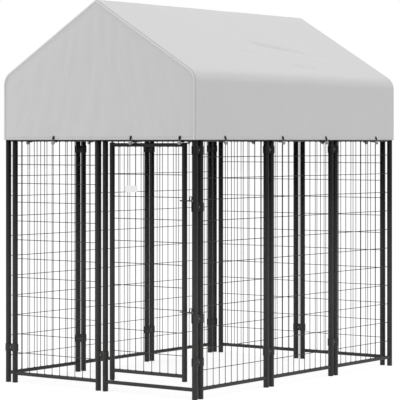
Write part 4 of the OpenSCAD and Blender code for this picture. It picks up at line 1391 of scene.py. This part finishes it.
def outline_points(inset):
    """Evenly spaced (place, direction) pairs along the gable outline, set in by a distance."""
    side, bend_r = SIDE_X - inset, ELBOW_R + SHEET_OUT - inset
    lengths = [LEG_TOP - HEM_Z, bend_r * ELBOW_TURN, SLOPE_L]
    for number in range(int(sum(lengths) / STITCH_PITCH)):
        way = (number + 0.5) * STITCH_PITCH
        if way < lengths[0]:
            yield (side, HEM_Z + way), (0, 1)
            continue
        way -= lengths[0]
        if way < lengths[1]:
            a = way / bend_r
            place = (EAVE_X + bend_r * math.cos(a), LEG_TOP + bend_r * math.sin(a))
            yield place, (-math.sin(a), math.cos(a))
            continue
        way -= lengths[1]
        a = ELBOW_TURN
        x = EAVE_X + bend_r * math.cos(a) - way * math.sin(a)
        if x > STITCH_PITCH / 2:
            yield (x, LEG_TOP + bend_r * math.sin(a) + way * math.cos(a)), (-math.sin(a), math.cos(a))


def sew(bm, point, along, inwards):
    """Lays one stitch on the cloth, where a ray from outside meets it."""
    hit, normal, _, _ = surface.ray_cast(point - RAY_START * inwards, inwards)
    if hit is None:
        return 0
    across = normal.cross(along).normalized()
    turned = Matrix((along, across, normal)).transposed().to_4x4()
    stamp(bm, NUGGET, Matrix.Translation(hit + normal * STITCH_LIFT) @ turned @ STITCH_SIZE)
    return 1


seam_bm = bmesh.new()
sewn = 0
for sign in (-1, 1):
    for inset in SEAM_ROWS:
        for (x, z), (dx, dz) in outline_points(inset):
            for flip in (-1, 1):
                sewn += sew(seam_bm, Vector((flip * x, sign * END_Y, z)), Vector((flip * dx, 0, dz)),
                            Vector((0, -sign, 0)))
seam_thread = piece("seam_stitches", seam_bm, "canopy_cloth", [], finish="canopy_thread", sharp=180)

hem_thread_bm = bmesh.new()
for along, half, sides in ((Vector((1, 0, 0)), SIDE_X, ((0, -END_Y, 0), (0, END_Y, 0))),
                           (Vector((0, 1, 0)), END_Y, ((-SIDE_X, 0, 0), (SIDE_X, 0, 0)))):
    for side in sides:
        outside = Vector(side)
        for number in range(int((2 * half - 4 * SEWN_R) / STITCH_PITCH)):
            way = 2 * SEWN_R - half + (number + 0.5) * STITCH_PITCH
            sewn += sew(hem_thread_bm, outside + along * way + Vector((0, 0, HEM_Z + HEM_ROW)), along,
                        -outside.normalized())
# The hem band lies one cloth thickness further out, and its thread with it.
for v in hem_thread_bm.verts:
    if abs(v.co.x) > SIDE_X - SIDE_NEAR:
        v.co += Vector((v.co.x / SIDE_X, 0, 0)) * CLOTH_T
    else:
        v.co += Vector((0, v.co.y / END_Y, 0)) * CLOTH_T
hem_thread = piece("hem_stitches", hem_thread_bm, "canopy_cloth", [], finish="canopy_thread", sharp=180)
print("stitches:", sewn)

# %% [markdown]
# Each ball tie is a doubled elastic: two strands side by side go out through an eyelet above the hem,
# down to a ball in front of it, and back round the top rail. Eyelet and ball are spun outlines. A
# strand is a ring of faces carried along straights and bends, as the piping is.

# %% Ball ties
CORD_R = 0.0018
CORD_GAP = 0.0003
CORD_BEND = 0.004
STRAND_OFF = 0.00185
BALL_R = 0.010
BALL_DROP = 0.0035
BALL_CORE = 0.002
PARTING_LIFT = 0.00012
EYELET_GRIP = 0.002
EYELET_WALL = 0.0012
EYELET_RIM = 0.003
EYELET_T = 0.0008
EYELET_FIT = 0.0002
TIE_R = RAIL_R + CORD_GAP + CORD_R
TIE_OUT = CLOTH_OUT + EYELET_FIT + EYELET_T + CORD_GAP + CORD_BEND
EYELET_SEAT = -CLOTH_OUT + EYELET_GRIP + EYELET_FIT + EYELET_T


def elastic():
    """A strand of elastic in the plane x = 0, round a rail along X at the origin."""
    bm = bmesh.new()
    start = at(0, -TIE_OUT + BALL_CORE, -TIE_R) @ OUTWARD
    bmesh.ops.create_circle(bm, segments=10, radius=CORD_R, matrix=start)
    carry(bm, (1, 0, 0), [
        ("draw", (0, TIE_OUT - BALL_CORE, 0)),
        ("bend", ORIGIN, math.pi, 18),
        ("draw", (0, CORD_BEND - TIE_OUT, 0)),
        ("bend", (0, CORD_BEND - TIE_OUT, TIE_R - CORD_BEND), math.pi / 2, 8),
        ("draw", (0, 0, CORD_BEND + BALL_CORE - 2 * TIE_R))])
    return kept(bm)


def ball():
    """A moulded ball with a fine parting line round it."""
    outline = [(0, -BALL_R)]
    for number in range(1, 20):
        a = number * math.pi / 20 - math.pi / 2
        radius = BALL_R + PARTING_LIFT if number == 10 else BALL_R
        outline.append((radius * math.cos(a), BALL_R * math.sin(a)))
    outline.append((0, BALL_R))
    return kept(spun(outline, 32, closed=False))


def eyelet():
    """A rolled eyelet along Z, its inner flange at z = 0."""
    bore = STRAND_OFF + CORD_R + CORD_GAP
    barrel, rim = bore + EYELET_WALL, bore + EYELET_WALL + EYELET_RIM
    grip = EYELET_GRIP + 2 * EYELET_FIT
    top = grip + 2 * EYELET_T
    outline = [(bore, 0.0002), (bore + 0.0006, 0), (rim - 0.0006, 0), (rim, 0.0003), (rim, EYELET_T),
               (barrel, EYELET_T), (barrel, EYELET_T + grip), (rim, EYELET_T + grip),
               (rim, top - 0.0004), (rim - 0.0008, top), (bore + 0.0009, top), (bore, top - 0.0006)]
    return kept(spun(outline, 28))


ELASTIC, BALL, EYELET = elastic(), ball(), eyelet()
cords, balls, eyelets = bmesh.new(), bmesh.new(), bmesh.new()
for place in TIE_PLACES:
    for strand in (-STRAND_OFF, STRAND_OFF):
        stamp(cords, ELASTIC, place @ at(x=strand, z=TOP_RAIL))
    stamp(balls, BALL, place @ at(0, -TIE_OUT, TOP_RAIL - TIE_R - BALL_DROP) @ ALONG_X)
    stamp(eyelets, EYELET, place @ at(0, EYELET_SEAT, TOP_RAIL + TIE_R) @ OUTWARD)
piece("tie_cords", cords, "elastic_cord", ["tie_elastics"], sharp=60)
piece("tie_end_balls", balls, "ball_plastic", ["tie_balls"])
rings = piece("hem_rings", eyelets, "eyelet_black", ["hem_eyelets"])
